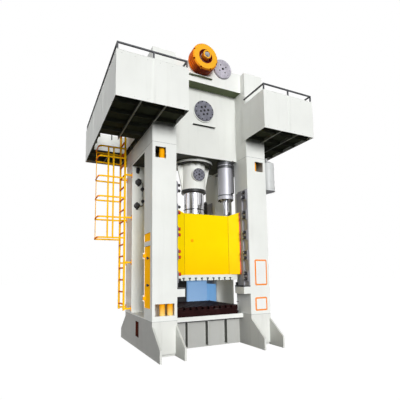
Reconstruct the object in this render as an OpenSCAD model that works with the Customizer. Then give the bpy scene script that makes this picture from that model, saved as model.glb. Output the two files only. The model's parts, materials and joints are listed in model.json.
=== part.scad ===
// Straight-side trimming press: bed, two uprights and a crown held together by tie rods,
// a crank-driven slide on a central plunger, service galleries and a caged ladder.
// Millimetres, +Z up. X runs across the press, Y from front to back.
// The origin is on the floor, under the middle of the frame.

/* [Frame] */
// Width over the two uprights
frame_w = 2900; // [2700:10:3100]
// Part of the opening's width that doesn't change with the frame's width
opening_core = 370; // [350:1:380]
// Part of the opening's width that follows the frame's width
opening_share = 0.5; // [0.495:0.001:0.505]
// Depth of the uprights from front face to rear face
frame_d = 2160; // [2100:10:2300]
// Depth of each corner post
post_d = 560; // [500:10:600]
// Height of the bed
bed_h = 700; // [660:10:760]
// Height of the uprights
upright_h = 3730; // [3700:10:3800]
// Height of the crown's side cheeks
cheek_h = 2150; // [2120:10:2180]
// Height of the crown's middle box
crown_h = 2190; // [2170:10:2240]
// Plate thickness of the frame walls
wall_t = 35; // [25:1:38]

/* [Feet] */
// How far each foot plate reaches past the upright
foot_reach = 460; // [300:10:600]
// Height where a foot plate starts to flare
foot_flare_h = 600; // [500:10:640]
// Height of a foot plate's toe
foot_toe_h = 240; // [150:10:300]
// Thickness of a foot plate
foot_t = 40; // [30:1:50]
// Gap between the floor and the bed's corner panels
foot_gap = 50; // [30:5:80]
// Radius of an anchor bolt hole
anchor_r = 30; // [20:1:40]
// Distance of an anchor bolt from the upright's face
anchor_set = 260; // [200:10:320]

/* [Bed] */
// How far the bed's front wall lies behind the uprights' face
bed_recess = 510; // [480:10:560]
// How far the table plate's front edge lies behind the uprights' face
table_recess = 340; // [320:10:400]
// Thickness of the table plate
table_t = 95; // [70:1:120]
// Thickness of a bed rib
bed_rib_t = 30; // [20:1:40]
// Spacing of the bed ribs
bed_rib_pitch = 500; // [400:10:560]
// Width of the access slot in the bed's sides
bed_slot_w = 260; // [150:10:320]
// Lower edge of the access slot
bed_slot_z = 250; // [200:10:280]
// Height of the access slot
bed_slot_h = 340; // [200:10:360]
// Distance of the bolster's end from the upright
bolster_side = 132; // [110:1:200]
// How far the bolster's front lies behind the uprights' face
bolster_recess = 362; // [350:1:420]
// Thickness of the bolster
bolster_t = 207; // [150:1:230]

/* [Tie rods] */
// Part of a tie rod's radius that doesn't change with the post's width
rod_core = 19; // [15:1:20]
// Part of a tie rod's radius that follows the post's width
rod_share = 0.077; // [0.07:0.001:0.078]
// Spacing of the two tie rods of a post as a share of its width
rod_pitch_share = 0.315; // [0.3:0.005:0.34]
// Height of a tie rod nut
rod_nut_h = 110; // [80:1:140]
// Length of rod that stands out of a nut
rod_end = 40; // [20:1:60]

/* [Openings] */
// Height of the sill under the side window
window_sill = 30; // [20:1:60]
// Height of the lintel over the side window
window_lintel = 60; // [30:1:90]
// Distance of the upper inspection hole from the post's outer edge
hole_side = 65; // [50:1:90]
// Side of the upper inspection hole
hole_w = 240; // [150:1:260]
// Distance of the upper inspection hole from the top of the upright
hole_drop = 100; // [60:1:200]
// Distance of the lower inspection window from the post's edges
sight_side = 60; // [50:1:90]
// Height of the lower inspection window
sight_h = 240; // [150:1:280]
// Height of the lower inspection window above the bed
sight_z = 105; // [80:1:150]
// Width of the service doors in the left upright's side
door_w = 430; // [380:1:440]
// Distance of the service doors from the upright's front face
door_set = 125; // [110:1:130]
// Height of the tall service door above the bed
door_z = 240; // [200:1:300]
// Height of the tall service door
door_h = 1295; // [1000:5:1320]
// Height of the bar between the two service doors
door_bar = 100; // [60:1:150]
// Height of the small service cover
hatch_cover_h = 175; // [120:1:220]
// Thickness of a service door
door_t = 12; // [6:1:14]
// How deep a service door lies in its opening
door_recess = 12; // [5:1:14]
// Gap all round a service door
door_gap = 5; // [3:1:8]
// Radius of a door knob
knob_r = 30; // [20:1:40]
// Radius of a door hinge's knuckle
knuckle_r = 12; // [10:1:14]
// Length of a door hinge's knuckle
knuckle_l = 70; // [50:1:90]

/* [Crown] */
// Part of the crown's middle depth that doesn't change with the frame's depth
crown_core = 598; // [570:2:640]
// Part of the crown's middle depth that follows the frame's depth
crown_share = 0.3; // [0.29:0.01:0.32]
// How far the upper beam stands in front of the crown's front wall
beam_reach = 277; // [240:1:300]
// Height of the upper beam
beam_h = 490; // [440:10:540]
// Half width of the gear space in the crown
gear_space = 985; // [970:1:1000]
// Length of a drip ledge
ledge_l = 600; // [400:10:700]
// Depth of a drip ledge
ledge_d = 70; // [40:1:90]
// Thickness of a drip ledge
ledge_t = 22; // [12:1:30]

/* [Drive] */
// Distance of the brake shaft to the left of the press centre
brake_x = 210; // [180:1:240]
// Module of the crank gear pair
crank_module = 28; // [28:1:28]
// Teeth of the crank gear
crank_teeth = 65; // [64:1:65]
// Teeth of the crank pinion
crank_pinion_teeth = 14; // [14:1:15]
// Module of the first gear pair
first_module = 20; // [20:1:20]
// Teeth of the first gear
first_teeth = 46; // [44:1:46]
// Teeth of the first pinion
first_pinion_teeth = 14; // [14:1:15]
// Face width of the crank gear pair
crank_face = 200; // [150:10:200]
// Face width of the first gear pair
first_face = 120; // [80:10:130]
// Play between gear teeth at the pitch circle
backlash = 2.4; // [1.5:0.1:4]
// Stroke of the slide
stroke = 240; // [160:10:244]
// Radius of the crank's journals
journal_r = 130; // [110:1:150]
// Radius of the crank pin
pin_r = 140; // [120:1:150]
// Width of the connecting rod
pitman_w = 180; // [140:1:200]
// Radius of the connecting rod's shank
pitman_r = 75; // [60:1:80]
// Radius of the connecting rod's ball end
ball_r = 85; // [78:1:88]
// Radius of the gear shafts
shaft_r = 80; // [70:1:90]
// Running clearance between moving pieces
run_gap = 0.3; // [0.2:0.1:0.5]

/* [Brake and flywheel] */
// Radius of the brake drum
drum_r = 320; // [280:1:340]
// Depth of the brake drum
drum_d = 270; // [200:1:300]
// Radius of the recess in the brake drum's face
drum_recess_r = 170; // [150:1:200]
// Depth of the recess in the brake drum's face
drum_recess_d = 150; // [80:1:180]
// Thickness of the brake's mounting flange
drum_flange_t = 30; // [20:1:40]
// How far the brake's hub stands out of the drum's face
hub_stand = 75; // [20:1:90]
// Radius of the gear shaft's bearing covers
shaft_cover_r = 245; // [220:1:260]
// Radius of the crank's bearing covers
crank_cover_r = 255; // [220:1:280]
// Thickness of a bearing cover
cover_t = 45; // [30:1:60]
// Radius of the flywheel
flywheel_r = 620; // [560:1:660]
// Width of the flywheel
flywheel_w = 220; // [180:1:260]
// Radius of the motor pulley
pulley_r = 120; // [100:1:140]
// Radius of the motor body
motor_r = 200; // [160:1:220]
// Length of the motor body
motor_l = 560; // [450:10:640]

/* [Plunger] */
// Radius of the plunger
plunger_r = 255; // [245:1:265]
// Depth of the connecting rod's ball below the crown's lower face
ball_drop = 480; // [460:1:500]
// Wall of the hollow plunger
plunger_wall = 30; // [24:1:32]
// Radius of the guide housing's flange
guide_flange_r = 490; // [460:1:520]
// Thickness of the guide housing's flange
guide_flange_t = 55; // [40:1:70]
// Radius of the guide housing's barrel
guide_r = 305; // [295:1:320]
// Length of the guide housing below the crown
guide_l = 700; // [600:10:740]
// Height of the seal ring under the guide housing
seal_h = 80; // [50:1:90]
// Radius of the round cover on the guide housing
guide_cover_r = 160; // [120:1:180]

/* [Slide] */
// Distance of the slide's side from the upright, filled by the gib
slide_side = 60; // [50:1:70]
// Width of a wing across the slide's front
wing_w = 277; // [240:1:330]
// How far the slide's flat front lies behind the uprights' face
slide_recess = 372; // [364:1:380]
// How far a wing stands forward of the flat front
wing_reach = 98; // [60:1:110]
// Height of the slide's lower face above the floor at the top of the stroke
slide_z = 1615; // [1610:1:1680]
// Length of plunger that shows between the slide and the seal at the top of the stroke
plunger_show = 642; // [600:1:700]
// How far the wings rise above the slide's top
wing_rise = 97; // [60:1:120]
// Plate thickness of the slide
slide_t = 45; // [35:1:55]
// Thickness of the clamping plate
clamp_t = 125; // [110:1:126]
// Distance of the clamping plate's end from the slide's side
clamp_side = 50; // [30:1:80]
// Number of slots in the clamping plate
slot_count = 9; // [5:2:9]
// Spacing of the clamping slots
slot_pitch = 150; // [120:1:160]
// Width of a clamping slot's neck
slot_w = 36; // [28:1:40]

/* [Gibs and balance cylinders] */
// Length of a gib
gib_l = 2270; // [2200:10:2400]
// Lower end of the gibs above the floor
gib_z = 1360; // [1359:1:1400]
// Width of a gib along the upright
gib_d = 400; // [360:1:430]
// Distance of a gib's guide from the gib's outer edge
gib_set = 170; // [160:1:190]
// Thickness of a gib's bolted plate
gib_plate_t = 22; // [15:1:30]
// Number of adjusting bolt rows on a gib
gib_rows = 5; // [3:1:6]
// Radius of a balance cylinder
balance_r = 188; // [170:1:195]
// Length of a balance cylinder
balance_l = 900; // [840:10:940]
// Distance of a balance cylinder's axis from the upright
balance_in = 210; // [205:1:230]
// Distance of a balance cylinder behind the uprights' face
balance_set = 665; // [655:1:700]
// Radius of a balance cylinder's rod
balance_rod_r = 68; // [50:1:75]

/* [Side beams and rear guard] */
// Width of a side beam
beam_w = 178; // [150:1:180]
// Length of a side beam
side_beam_l = 505; // [300:1:520]
// Lower face of the side beams above the floor
side_beam_z = 1170; // [1100:1:1180]
// Height of a side beam
side_beam_h = 160; // [120:1:165]
// Thickness of the pad on a side beam
pad_t = 26; // [15:1:27]
// Lower edge of the rear guard above the floor
guard_z = 780; // [740:1:800]
// Height of the rear guard
guard_h = 700; // [600:1:720]
// Width of the blue leaf of the rear guard
guard_leaf_w = 620; // [500:1:800]

/* [Galleries] */
// Distance of the left gallery's inner panel from the press centre
gallery_in_left = 965; // [940:1:1000]
// Distance of the right gallery's inner panel from the press centre
gallery_in_right = 860; // [850:1:1000]
// Width of a gallery
gallery_w = 1435; // [1380:1:1500]
// How far a gallery reaches in front of the uprights
gallery_front = 810; // [700:1:900]
// How far a gallery reaches behind the uprights
gallery_rear = 980; // [800:1:1000]
// Underside of the galleries above the crown's lower face
gallery_rise = 390; // [370:1:430]
// Height of a gallery's panels
panel_h = 890; // [800:1:920]
// Thickness of a gallery's panels
panel_t = 12; // [6:1:20]
// Height of the top rail over the panels
rail_rise = 165; // [120:1:200]
// Section of the top rail
rail_s = 28; // [24:1:50]
// Depth of the ribs under a gallery's floor
floor_rib_h = 80; // [60:1:120]
// Thickness of a gallery's floor
floor_t = 12; // [6:1:20]

/* [Ladder] */
// Distance of the ladder from the upright's side
ladder_off = 180; // [160:1:200]
// Width of the ladder between its stringers
ladder_w = 480; // [420:1:490]
// Lower end of the ladder above the floor
ladder_z = 790; // [760:1:830]
// How far the ladder stands up above the galleries' underside
ladder_over = 1030; // [900:10:1040]
// Spacing of the rungs
rung_pitch = 290; // [250:1:300]
// Radius of a rung
rung_r = 14; // [11:1:18]
// Depth of a stringer
stringer_d = 50; // [40:1:60]
// Thickness of a stringer
stringer_t = 22; // [12:1:25]
// How far the cage stands out from the ladder
cage_d = 640; // [560:1:680]
// Lowest hoop of the cage above the floor
cage_z = 2515; // [2400:1:2600]
// Spacing of the cage's hoops as a share of the cage's height
hoop_share = 0.222; // [0.2:0.001:0.225]
// Number of hoops
hoop_count = 5; // [4:1:5]
// Height of a hoop's flat bar
hoop_h = 40; // [30:1:50]
// Thickness of a hoop's flat bar
hoop_t = 12; // [8:1:16]

/* [Air tank] */
// Radius of the air tank
tank_r = 190; // [150:1:200]
// Length of the air tank's shell
tank_l = 720; // [600:1:760]
// Distance of the air tank's lower end below the crown
tank_drop = 750; // [720:1:800]
// Gap between the air tank and the upright
tank_off = 45; // [30:1:80]
// Distance of the air tank's axis behind the uprights' face
tank_set = 250; // [220:1:320]

/* [Hidden] */
$fn = 64;

paint = [0.88, 0.89, 0.86];
yellow = [0.98, 0.78, 0.05];
orange = [0.95, 0.52, 0.08];
steel = [0.55, 0.56, 0.58];
dark = [0.2, 0.2, 0.21];
brown = [0.22, 0.13, 0.12];
blue = [0.45, 0.62, 0.86];
bright = [0.82, 0.83, 0.85];

eps = 1;
opening_w = opening_core + opening_share * frame_w;
half_w = frame_w / 2;
half_o = opening_w / 2;
half_d = frame_d / 2;
post_w = half_w - half_o;
crown_z = bed_h + upright_h;
cheek_z = crown_z + cheek_h;
deck_z = crown_z + crown_h;
crown_y = (crown_core + crown_share * frame_d) / 2;
beam_y = crown_y + beam_reach;
beam_z = deck_z - beam_h;

// Tie rods: two in every corner post
rod_r = rod_core + rod_share * post_w;
rod_pitch = rod_pitch_share * post_w;
rod_nut_r = 1.25 * rod_r;
rod_nut_gap = 12;
rod_in = foot_t + rod_nut_gap + rod_nut_r * cos(30);
rod_set = wall_t + rod_nut_gap + rod_nut_r;
rod_xs = [for (s = [-1, 1], i = [0, 1]) s * (half_o + rod_in + i * rod_pitch)];
rod_ys = [-half_d + rod_set, half_d - rod_set];
rod_gap = 1;
rod_pocket_d = rod_nut_h + rod_end + 15;
rod_top = cheek_z - rod_pocket_d;
rod_seat_z = 360;
rod_seat_t = 60;
rod_z0 = rod_seat_z - rod_seat_t - rod_nut_h - rod_end;
rod_z1 = rod_top + rod_nut_h + rod_end;

// Gear train: three shafts along Y, in mesh at rest
brake_p = [-brake_x, deck_z];
first_a = first_module * (first_teeth + first_pinion_teeth) / 2;
inter_p = [first_a - brake_x, deck_z];
crank_a = crank_module * (crank_teeth + crank_pinion_teeth) / 2;
crank_p = [0, deck_z - sqrt(crank_a * crank_a - inter_p.x * inter_p.x)];
crank_dir = atan2(inter_p.y - crank_p.y, inter_p.x - crank_p.x);
addendum = 0.85;
dedendum = 1.2;
pressure = 22;
flank_steps = 3;
throw_r = stroke / 2;
pin_p = [0, crank_p.y + throw_r];
cheek_gap = 8;
web_t = 80;
web_y = pitman_w / 2 + cheek_gap;
web_r = throw_r + pin_r + 40;
crank_gear_y = 280;
first_gear_y = -60;
ball_z = crown_z - ball_drop;
pitman_head_r = pin_r + 75;

// Covers, caps and the brake
drum_y = -beam_y - drum_flange_t;
drum_face_y = drum_y - drum_d;
cap_r = 205;
cap_foot_w = 560;
cap_foot_h = 50;
flywheel_y = half_d + 40;
flywheel_rim = 130;
flywheel_web = 70;
hub_r = 190;
groove_count = 5;
groove_pitch = 36;
groove_d = 16;
belt_t = 14;
case_gap = 40;
case_t = 10;
case_r = first_module * (first_teeth / 2 + addendum) + case_gap + case_t;
motor_gap = 63;
motor_p = [inter_p.x + case_r + motor_gap + motor_r, cheek_z + motor_r + 70];
motor_y = half_d - rod_set - rod_nut_r - 20 - motor_l;
belt_gap = 0.5;

// Slide and its guides
slide_w = opening_w - 2 * slide_side;
slide_flat_w = slide_w - 2 * wing_w;
clamp_w = slide_w - 2 * clamp_side;
bolster_w = opening_w - 2 * bolster_side;
balance_x = half_o - balance_in;
slide_y = half_d - slide_recess;
wing_y = slide_y + wing_reach;
slide_top = crown_z - guide_l - seal_h - plunger_show;
slide_h = slide_top - slide_z;
gib_face = slide_w / 2 + run_gap;
gib_y = half_d - 10;
gib_first = 215;
gib_last = 135;
gib_pitch = (gib_l - gib_first - gib_last) / (gib_rows - 1);
gib_block = 15;
gib_bolt_set = 75;
clamp_y = slide_y;
beam_step_y = -clamp_y - 12;
beam_toe_w = half_o - clamp_w / 2 - 12;
beam_end_y = max(-half_d + side_beam_l, beam_step_y + 40);
plunger_z0 = slide_top;
plunger_top = crown_z - 130;
balance_p = [balance_x, half_d - balance_set];
balance_flange = 60;
guard_y = half_d;
guard_t = 30;
guard_bar = 60;
guard_x = half_o + guard_bar;

// Galleries
gallery_z = crown_z + gallery_rise;
floor_z = gallery_z + floor_rib_h;
rail_z = gallery_z + panel_h + rail_rise;
ladder_l = gallery_z + ladder_over - ladder_z;
ladder_x = -half_w - ladder_off;
ladder_y = half_d - 20 - ladder_w / 2 - stringer_t;
bracket_w = 40;
hoop_corner_r = 90;
cage_top_z = gallery_z - hoop_h - 10;
hatch_x0 = half_w + 60;
hatch_x1 = gallery_in_left + gallery_w - panel_t - 60;
hatch_y0 = ladder_y - ladder_w / 2 - stringer_t - 466;
hatch_y1 = ladder_y + ladder_w / 2 + stringer_t + 140;
tank_z = crown_z - tank_drop;
tank_p = [half_w + tank_off + tank_r, -half_d + tank_set];

// Helpers: a box by its corners, and extrusions along Y (seen as X, Z) and X (seen as Y, Z)
module span(lo, hi) {
    translate(lo)
        cube(hi - lo);
}

module along_y(y0, y1) {
    translate([0, y1, 0])
        rotate([90, 0, 0])
            linear_extrude(y1 - y0)
                children();
}

module along_x(x0, x1) {
    translate([x0, 0, 0])
        rotate([90, 0, 90])
            linear_extrude(x1 - x0)
                children();
}

module round_y(p, r, y0, y1) {
    translate([p.x, y0, p.y])
        rotate([-90, 0, 0])
            cylinder(r = r, h = y1 - y0);
}

module turned_y(p, y) {
    translate([p.x, y, p.y])
        rotate([-90, 0, 0])
            rotate_extrude()
                children();
}

module both_x() {
    children();
    mirror([1, 0, 0])
        children();
}

module both_y() {
    children();
    mirror([0, 1, 0])
        children();
}

module four_corners() {
    both_x()
        both_y()
            children();
}

module rod_holes(r, z0, z1) {
    for (x = rod_xs, y = rod_ys)
        translate([x, y, z0])
            cylinder(r = r, h = z1 - z0);
}

// Involute gear outline with the first tooth on the +X side
function involute(a) = tan(a) * 180 / PI - a;
function half_tooth(m, z, r) =
    let (rp = m * z / 2, rb = rp * cos(pressure))
    90 / z - backlash / 4 / rp * 180 / PI + involute(pressure) - involute(acos(min(1, rb / r)));
function gear_points(m, z) =
    let (
        rp = m * z / 2,
        ra = rp + addendum * m,
        rf = rp - dedendum * m,
        r0 = max(rf, rp * cos(pressure)),
        flank = [for (k = [0:flank_steps]) r0 + (ra - r0) * k / flank_steps],
        radii = concat(rf < r0 ? [rf] : [], flank),
        n = len(radii)
    )
    [for (i = [0:z - 1], k = [0:2 * n - 1])
        let (
            up = k < n,
            r = up ? radii[k] : radii[2 * n - 1 - k],
            h = half_tooth(m, z, max(r, r0)),
            a = i * 360 / z + (up ? -h : h)
        )
        r * [cos(a), sin(a)]];

module gear_outline(m, z, p, turn) {
    translate(p)
        rotate(turn)
            polygon(gear_points(m, z));
}

// Bed
module foot_profile() {
    polygon([
        [-half_d - foot_reach, 0], [half_d + foot_reach, 0], [half_d + foot_reach, foot_toe_h],
        [half_d, foot_flare_h], [half_d, bed_h], [-half_d, bed_h],
        [-half_d, foot_flare_h], [-half_d - foot_reach, foot_toe_h]
    ]);
}

module bed_side() {
    difference() {
        union() {
            along_x(half_w - foot_t, half_w)
                foot_profile();
            along_x(half_o, half_o + foot_t)
                foot_profile();
            both_y()
                span([half_o, -half_d, foot_gap], [half_w, -half_d + wall_t, bed_h]);
            span([half_o, -half_d, bed_h - wall_t], [half_w, half_d, bed_h]);
            both_y()
                span([half_o, -half_d, rod_seat_z - rod_seat_t], [half_w, -half_d + post_d, rod_seat_z]);
            both_y()
                span([half_o, -half_d + wall_t, 0], [half_w, -half_d + wall_t + 2 * anchor_set, wall_t]);
        }
        span([half_w - foot_t - eps, -bed_slot_w / 2, bed_slot_z],
             [half_w + eps, bed_slot_w / 2, bed_slot_z + bed_slot_h]);
        both_y()
            translate([(half_o + half_w) / 2, -half_d + anchor_set, -eps])
                cylinder(r = anchor_r, h = wall_t + 2 * eps);
    }
}

module bed_middle() {
    wall_y = half_d - bed_recess;
    top = bed_h - table_t;
    both_y()
        span([-half_o - eps, -wall_y, 0], [half_o + eps, -wall_y + wall_t, top]);
    for (i = [-1:1])
        span([i * bed_rib_pitch - bed_rib_t / 2, -half_d + table_recess + wall_t, foot_gap],
             [i * bed_rib_pitch + bed_rib_t / 2, half_d - table_recess - wall_t, top]);
}

module bed() {
    color(paint)
        difference() {
            union() {
                both_x()
                    bed_side();
                bed_middle();
            }
            rod_holes(rod_r + rod_gap, rod_seat_z - rod_seat_t - eps, bed_h + eps);
        }
}

module table_plate() {
    y = half_d - table_recess;
    color(paint)
        span([-half_o, -y, bed_h - table_t], [half_o, y, bed_h]);
}

// T-slots that run along Y, cut into a face at height z, with depth going along dir
module tee_slots(count, pitch, y, z, dir) {
    neck_h = slot_w;
    tee_w = 1.7 * slot_w;
    tee_h = 0.8 * slot_w;
    for (i = [0:count - 1])
        translate([(i - (count - 1) / 2) * pitch, 0, z])
            mirror([0, 0, dir < 0 ? 1 : 0]) {
                span([-slot_w / 2, -y - eps, -eps], [slot_w / 2, y + eps, neck_h]);
                span([-tee_w / 2, -y - eps, neck_h - eps], [tee_w / 2, y + eps, neck_h + tee_h]);
            }
}

module bolster() {
    y = half_d - bolster_recess;
    color(brown)
        difference() {
            span([-bolster_w / 2, -y, bed_h], [bolster_w / 2, y, bed_h + bolster_t]);
            tee_slots(slot_count, slot_pitch, y, bed_h + bolster_t, -1);
        }
}

// Uprights: two hollow posts joined by a sill and a lintel
module post_cavity() {
    span([half_o + wall_t, -half_d + wall_t, bed_h + wall_t],
         [half_w - wall_t, -half_d + post_d - wall_t, crown_z - wall_t]);
}

module upright_shell() {
    difference() {
        span([half_o, -half_d, bed_h], [half_w, half_d, crown_z]);
        both_y()
            post_cavity();
        span([half_o - eps, -half_d + post_d, bed_h + window_sill],
             [half_w + eps, half_d - post_d, crown_z - window_lintel]);
        span([half_w - hole_side - hole_w, -half_d - eps, crown_z - hole_drop - hole_w],
             [half_w - hole_side, -half_d + wall_t + eps, crown_z - hole_drop]);
        rod_holes(rod_r + rod_gap, bed_h - eps, crown_z + eps);
    }
}

module service_opening(z, h) {
    y = -half_d + door_set;
    span([-half_w - eps, y, z], [-half_w + wall_t + eps, y + door_w, z + h]);
}

cover_z = bed_h + door_z + door_h + door_bar;

module left_upright() {
    jamb_hole_r = 35;
    jamb_hole_l = 60;
    jamb_hole_z = crown_z - 170;
    color(paint)
        difference() {
            mirror([1, 0, 0])
                upright_shell();
            span([-half_w + sight_side, -half_d - eps, bed_h + sight_z],
                 [-half_o - sight_side, -half_d + wall_t + eps, bed_h + sight_z + sight_h]);
            service_opening(bed_h + door_z, door_h);
            service_opening(cover_z, hatch_cover_h);
            along_y(half_d - post_d - eps, half_d - post_d + wall_t + eps)
                translate([-half_w + post_w * 0.3, jamb_hole_z]) {
                    circle(jamb_hole_r);
                    translate([-jamb_hole_r, 0])
                        square([2 * jamb_hole_r, jamb_hole_l]);
                    translate([0, jamb_hole_l])
                        circle(jamb_hole_r);
                }
        }
}

module right_upright() {
    color(paint)
        upright_shell();
}

// The tall door hangs on two hinges that stand just outside the upright's face
hinge_p = [-half_w - knuckle_r - 2, -half_d + door_set + door_w];
hinge_zs = [for (f = [0.15, 0.85]) bed_h + door_z + f * door_h];
hinge_pin_r = knuckle_r / 2;

module service_door() {
    x = -half_w + door_recess;
    y1 = hinge_p.y - door_gap;
    strap_l = 60;
    color(yellow)
        difference() {
            union() {
                span([x, -half_d + door_set + door_gap, bed_h + door_z + door_gap],
                     [x + door_t, y1, bed_h + door_z + door_h - door_gap]);
                for (z = hinge_zs) {
                    span([hinge_p.x - knuckle_r / 2, y1 - strap_l, z - knuckle_l / 2],
                         [x + eps, y1 - 1, z + knuckle_l / 2]);
                    translate([hinge_p.x, hinge_p.y, z - knuckle_l / 2])
                        cylinder(r = knuckle_r, h = knuckle_l);
                }
            }
            for (z = hinge_zs)
                translate([hinge_p.x, hinge_p.y, z - knuckle_l])
                    cylinder(r = hinge_pin_r + run_gap, h = 2 * knuckle_l);
        }
}

module door_hinges() {
    lug_h = 30;
    lug_l = 60;
    play = 1;
    color(dark)
        for (z = hinge_zs) {
            translate([hinge_p.x, hinge_p.y, z - knuckle_l / 2 - play - lug_h])
                cylinder(r = hinge_pin_r, h = knuckle_l + 2 * play + 2 * lug_h);
            for (z0 = [z - knuckle_l / 2 - play - lug_h, z + knuckle_l / 2 + play])
                span([hinge_p.x - knuckle_r, hinge_p.y - knuckle_r / 2, z0],
                     [-half_w, hinge_p.y + lug_l, z0 + lug_h]);
        }
}

module door_knobs() {
    knob_y = -half_d + door_set + 110;
    stem_r = knob_r / 2;
    stem_l = 20;
    x = -half_w + door_recess;
    color(dark)
        for (f = [0.37, 0.8])
            translate([x, knob_y, bed_h + door_z + f * door_h])
                rotate([0, -90, 0])
                    rotate_extrude()
                        polygon([[0, 0], [stem_r, 0], [stem_r, stem_l], [knob_r, stem_l + 8],
                                 [knob_r, stem_l + 28], [knob_r - 8, stem_l + 36], [0, stem_l + 36]]);
}

module service_cover() {
    x = -half_w + door_recess;
    y0 = -half_d + door_set;
    lap = 25;
    color(yellow) {
        span([x, y0, cover_z], [x + door_t, y0 + door_w, cover_z + hatch_cover_h]);
        span([x + door_t, y0 + lap, cover_z + lap],
             [x + 2 * door_t, y0 + door_w - lap, cover_z + hatch_cover_h - lap]);
    }
}

// Crown: an H in plan with a hollow gear space, upper beams and a slot for the first gear
module crown_plan() {
    difference() {
        square([frame_w, frame_d], center = true);
        both_y()
            translate([-half_o, crown_y])
                square([opening_w, half_d - crown_y + eps]);
    }
}

module crown_body() {
    linear_extrude(cheek_h)
        crown_plan();
    translate([0, 0, cheek_h - eps])
        linear_extrude(crown_h - cheek_h + eps)
            square([opening_w, 2 * crown_y], center = true);
}

module crown_cells() {
    inner = half_o + wall_t;
    outer = half_w - wall_t;
    side = gear_space + wall_t;
    z0 = crown_z + wall_t;
    z1 = cheek_z - wall_t;
    span([-gear_space, -crown_y + wall_t, z0], [gear_space, crown_y - wall_t, z1]);
    four_corners() {
        span([inner, crown_y + wall_t, z0], [outer, half_d - wall_t, rod_top - wall_t]);
        span([inner, crown_y + wall_t, rod_top], [outer, half_d - wall_t, cheek_z + eps]);
    }
    both_x()
        span([side, -crown_y + wall_t, z0], [outer, crown_y - wall_t, z1]);
}

module shaft_way() {
    slot_gap = 25;
    first_tip = first_module * (first_teeth / 2 + addendum) + slot_gap;
    pinion_tip = first_module * (first_pinion_teeth / 2 + addendum) + slot_gap;
    crank_pinion_tip = crank_module * (crank_pinion_teeth / 2 + addendum) + slot_gap;
    for (p = [brake_p, inter_p]) {
        round_y(p, shaft_r + slot_gap, -crown_y, crown_y);
        round_y(p, shaft_r + run_gap, -beam_y - eps, beam_y + eps);
    }
    span([brake_p.x - pinion_tip, first_gear_y - slot_gap, deck_z - first_tip],
         [inter_p.x + first_tip, first_gear_y + first_face + slot_gap, deck_z + eps]);
    span([inter_p.x - crank_pinion_tip, crank_gear_y - slot_gap, deck_z - crank_pinion_tip],
         [inter_p.x + crank_pinion_tip, crank_gear_y + crank_face + slot_gap, deck_z + eps]);
}

module crown() {
    ring_r = crank_cover_r + 25;
    ring_t = 20;
    ledge_1_z = crank_p.y - crank_cover_r - 130;
    ledge_2_z = deck_z - drum_r - ledge_t - 10;
    color(paint)
        difference() {
            union() {
                translate([0, 0, crown_z])
                    crown_body();
                both_y()
                    span([-half_o - eps, -beam_y, beam_z], [half_o + eps, -crown_y + eps, deck_z]);
                round_y(crank_p, ring_r, -crown_y - ring_t, -crown_y + eps);
                round_y(crank_p, ring_r, crown_y - eps, crown_y + ring_t);
                span([-ledge_l / 2, -crown_y - ledge_d, ledge_1_z],
                     [ledge_l / 2, -crown_y + eps, ledge_1_z + ledge_t]);
                span([brake_p.x - ledge_l / 2, -beam_y - ledge_d, ledge_2_z],
                     [brake_p.x + ledge_l / 2, -beam_y + eps, ledge_2_z + ledge_t]);
            }
            crown_cells();
            shaft_way();
            round_y(crank_p, journal_r + run_gap, -crown_y - ring_t - eps, crown_y + ring_t + eps);
            translate([0, 0, crown_z - eps])
                cylinder(r = plunger_r, h = wall_t + 2 * eps);
            rod_holes(rod_r + rod_gap, crown_z - eps, cheek_z + eps);
        }
}

module gear_case(grow) {
    tip = first_module * (first_teeth / 2 + addendum) + case_gap + grow;
    pinion_tip = first_module * (first_pinion_teeth / 2 + addendum) + case_gap + grow;
    intersection() {
        union() {
            translate(inter_p)
                circle(tip);
            translate([brake_p.x - pinion_tip, deck_z])
                square([inter_p.x - brake_p.x + pinion_tip, pinion_tip]);
        }
        translate([-frame_w, deck_z - (grow > 0 ? 0 : eps)])
            square([2 * frame_w, frame_w]);
    }
}

module gear_cover() {
    y0 = first_gear_y - 60;
    y1 = crank_gear_y + crank_face + 50;
    color(paint)
        difference() {
            along_y(y0, y1)
                gear_case(case_t);
            along_y(y0 + case_t, y1 - case_t)
                gear_case(0);
            for (p = [brake_p, inter_p])
                round_y(p, shaft_r + 10, y0 - eps, y1 + eps);
        }
}

module tie_rods() {
    color(yellow)
        rod_holes(rod_r, rod_z0, rod_z1);
}

module tie_rod_nuts() {
    color(steel)
        for (x = rod_xs, y = rod_ys, z = [rod_seat_z - rod_seat_t - rod_nut_h, rod_top])
            translate([x, y, z])
                difference() {
                    rotate(30)
                        cylinder(r = rod_nut_r, h = rod_nut_h, $fn = 6);
                    translate([0, 0, -eps])
                        cylinder(r = rod_r, h = rod_nut_h + 2 * eps);
                }
}

// Covers and bearing caps on the crown
module bolted_cover(p, y, r, bolts) {
    rim = 12;
    bolt_r = 16;
    bolt_h = 14;
    turned_y(p, y)
        polygon([[0, 0], [r, 0], [r, cover_t - rim], [r - rim, cover_t], [0, cover_t]]);
    for (i = [0:bolts - 1])
        translate([p.x, y + cover_t, p.y])
            rotate([-90, 0, 0])
                rotate(i * 360 / bolts)
                    translate([0.78 * r, 0, -eps])
                        cylinder(r = bolt_r, h = bolt_h + eps, $fn = 6);
}

module crank_covers() {
    ring_t = 20;
    color(steel)
        both_y()
            bolted_cover(crank_p, crown_y + ring_t, crank_cover_r, 6);
}

module shaft_covers() {
    color(bright)
        both_y()
            difference() {
                bolted_cover(inter_p, beam_y, shaft_cover_r, 8);
                round_y(inter_p, 26, beam_y + cover_t / 2, beam_y + 2 * cover_t);
            }
}

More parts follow.
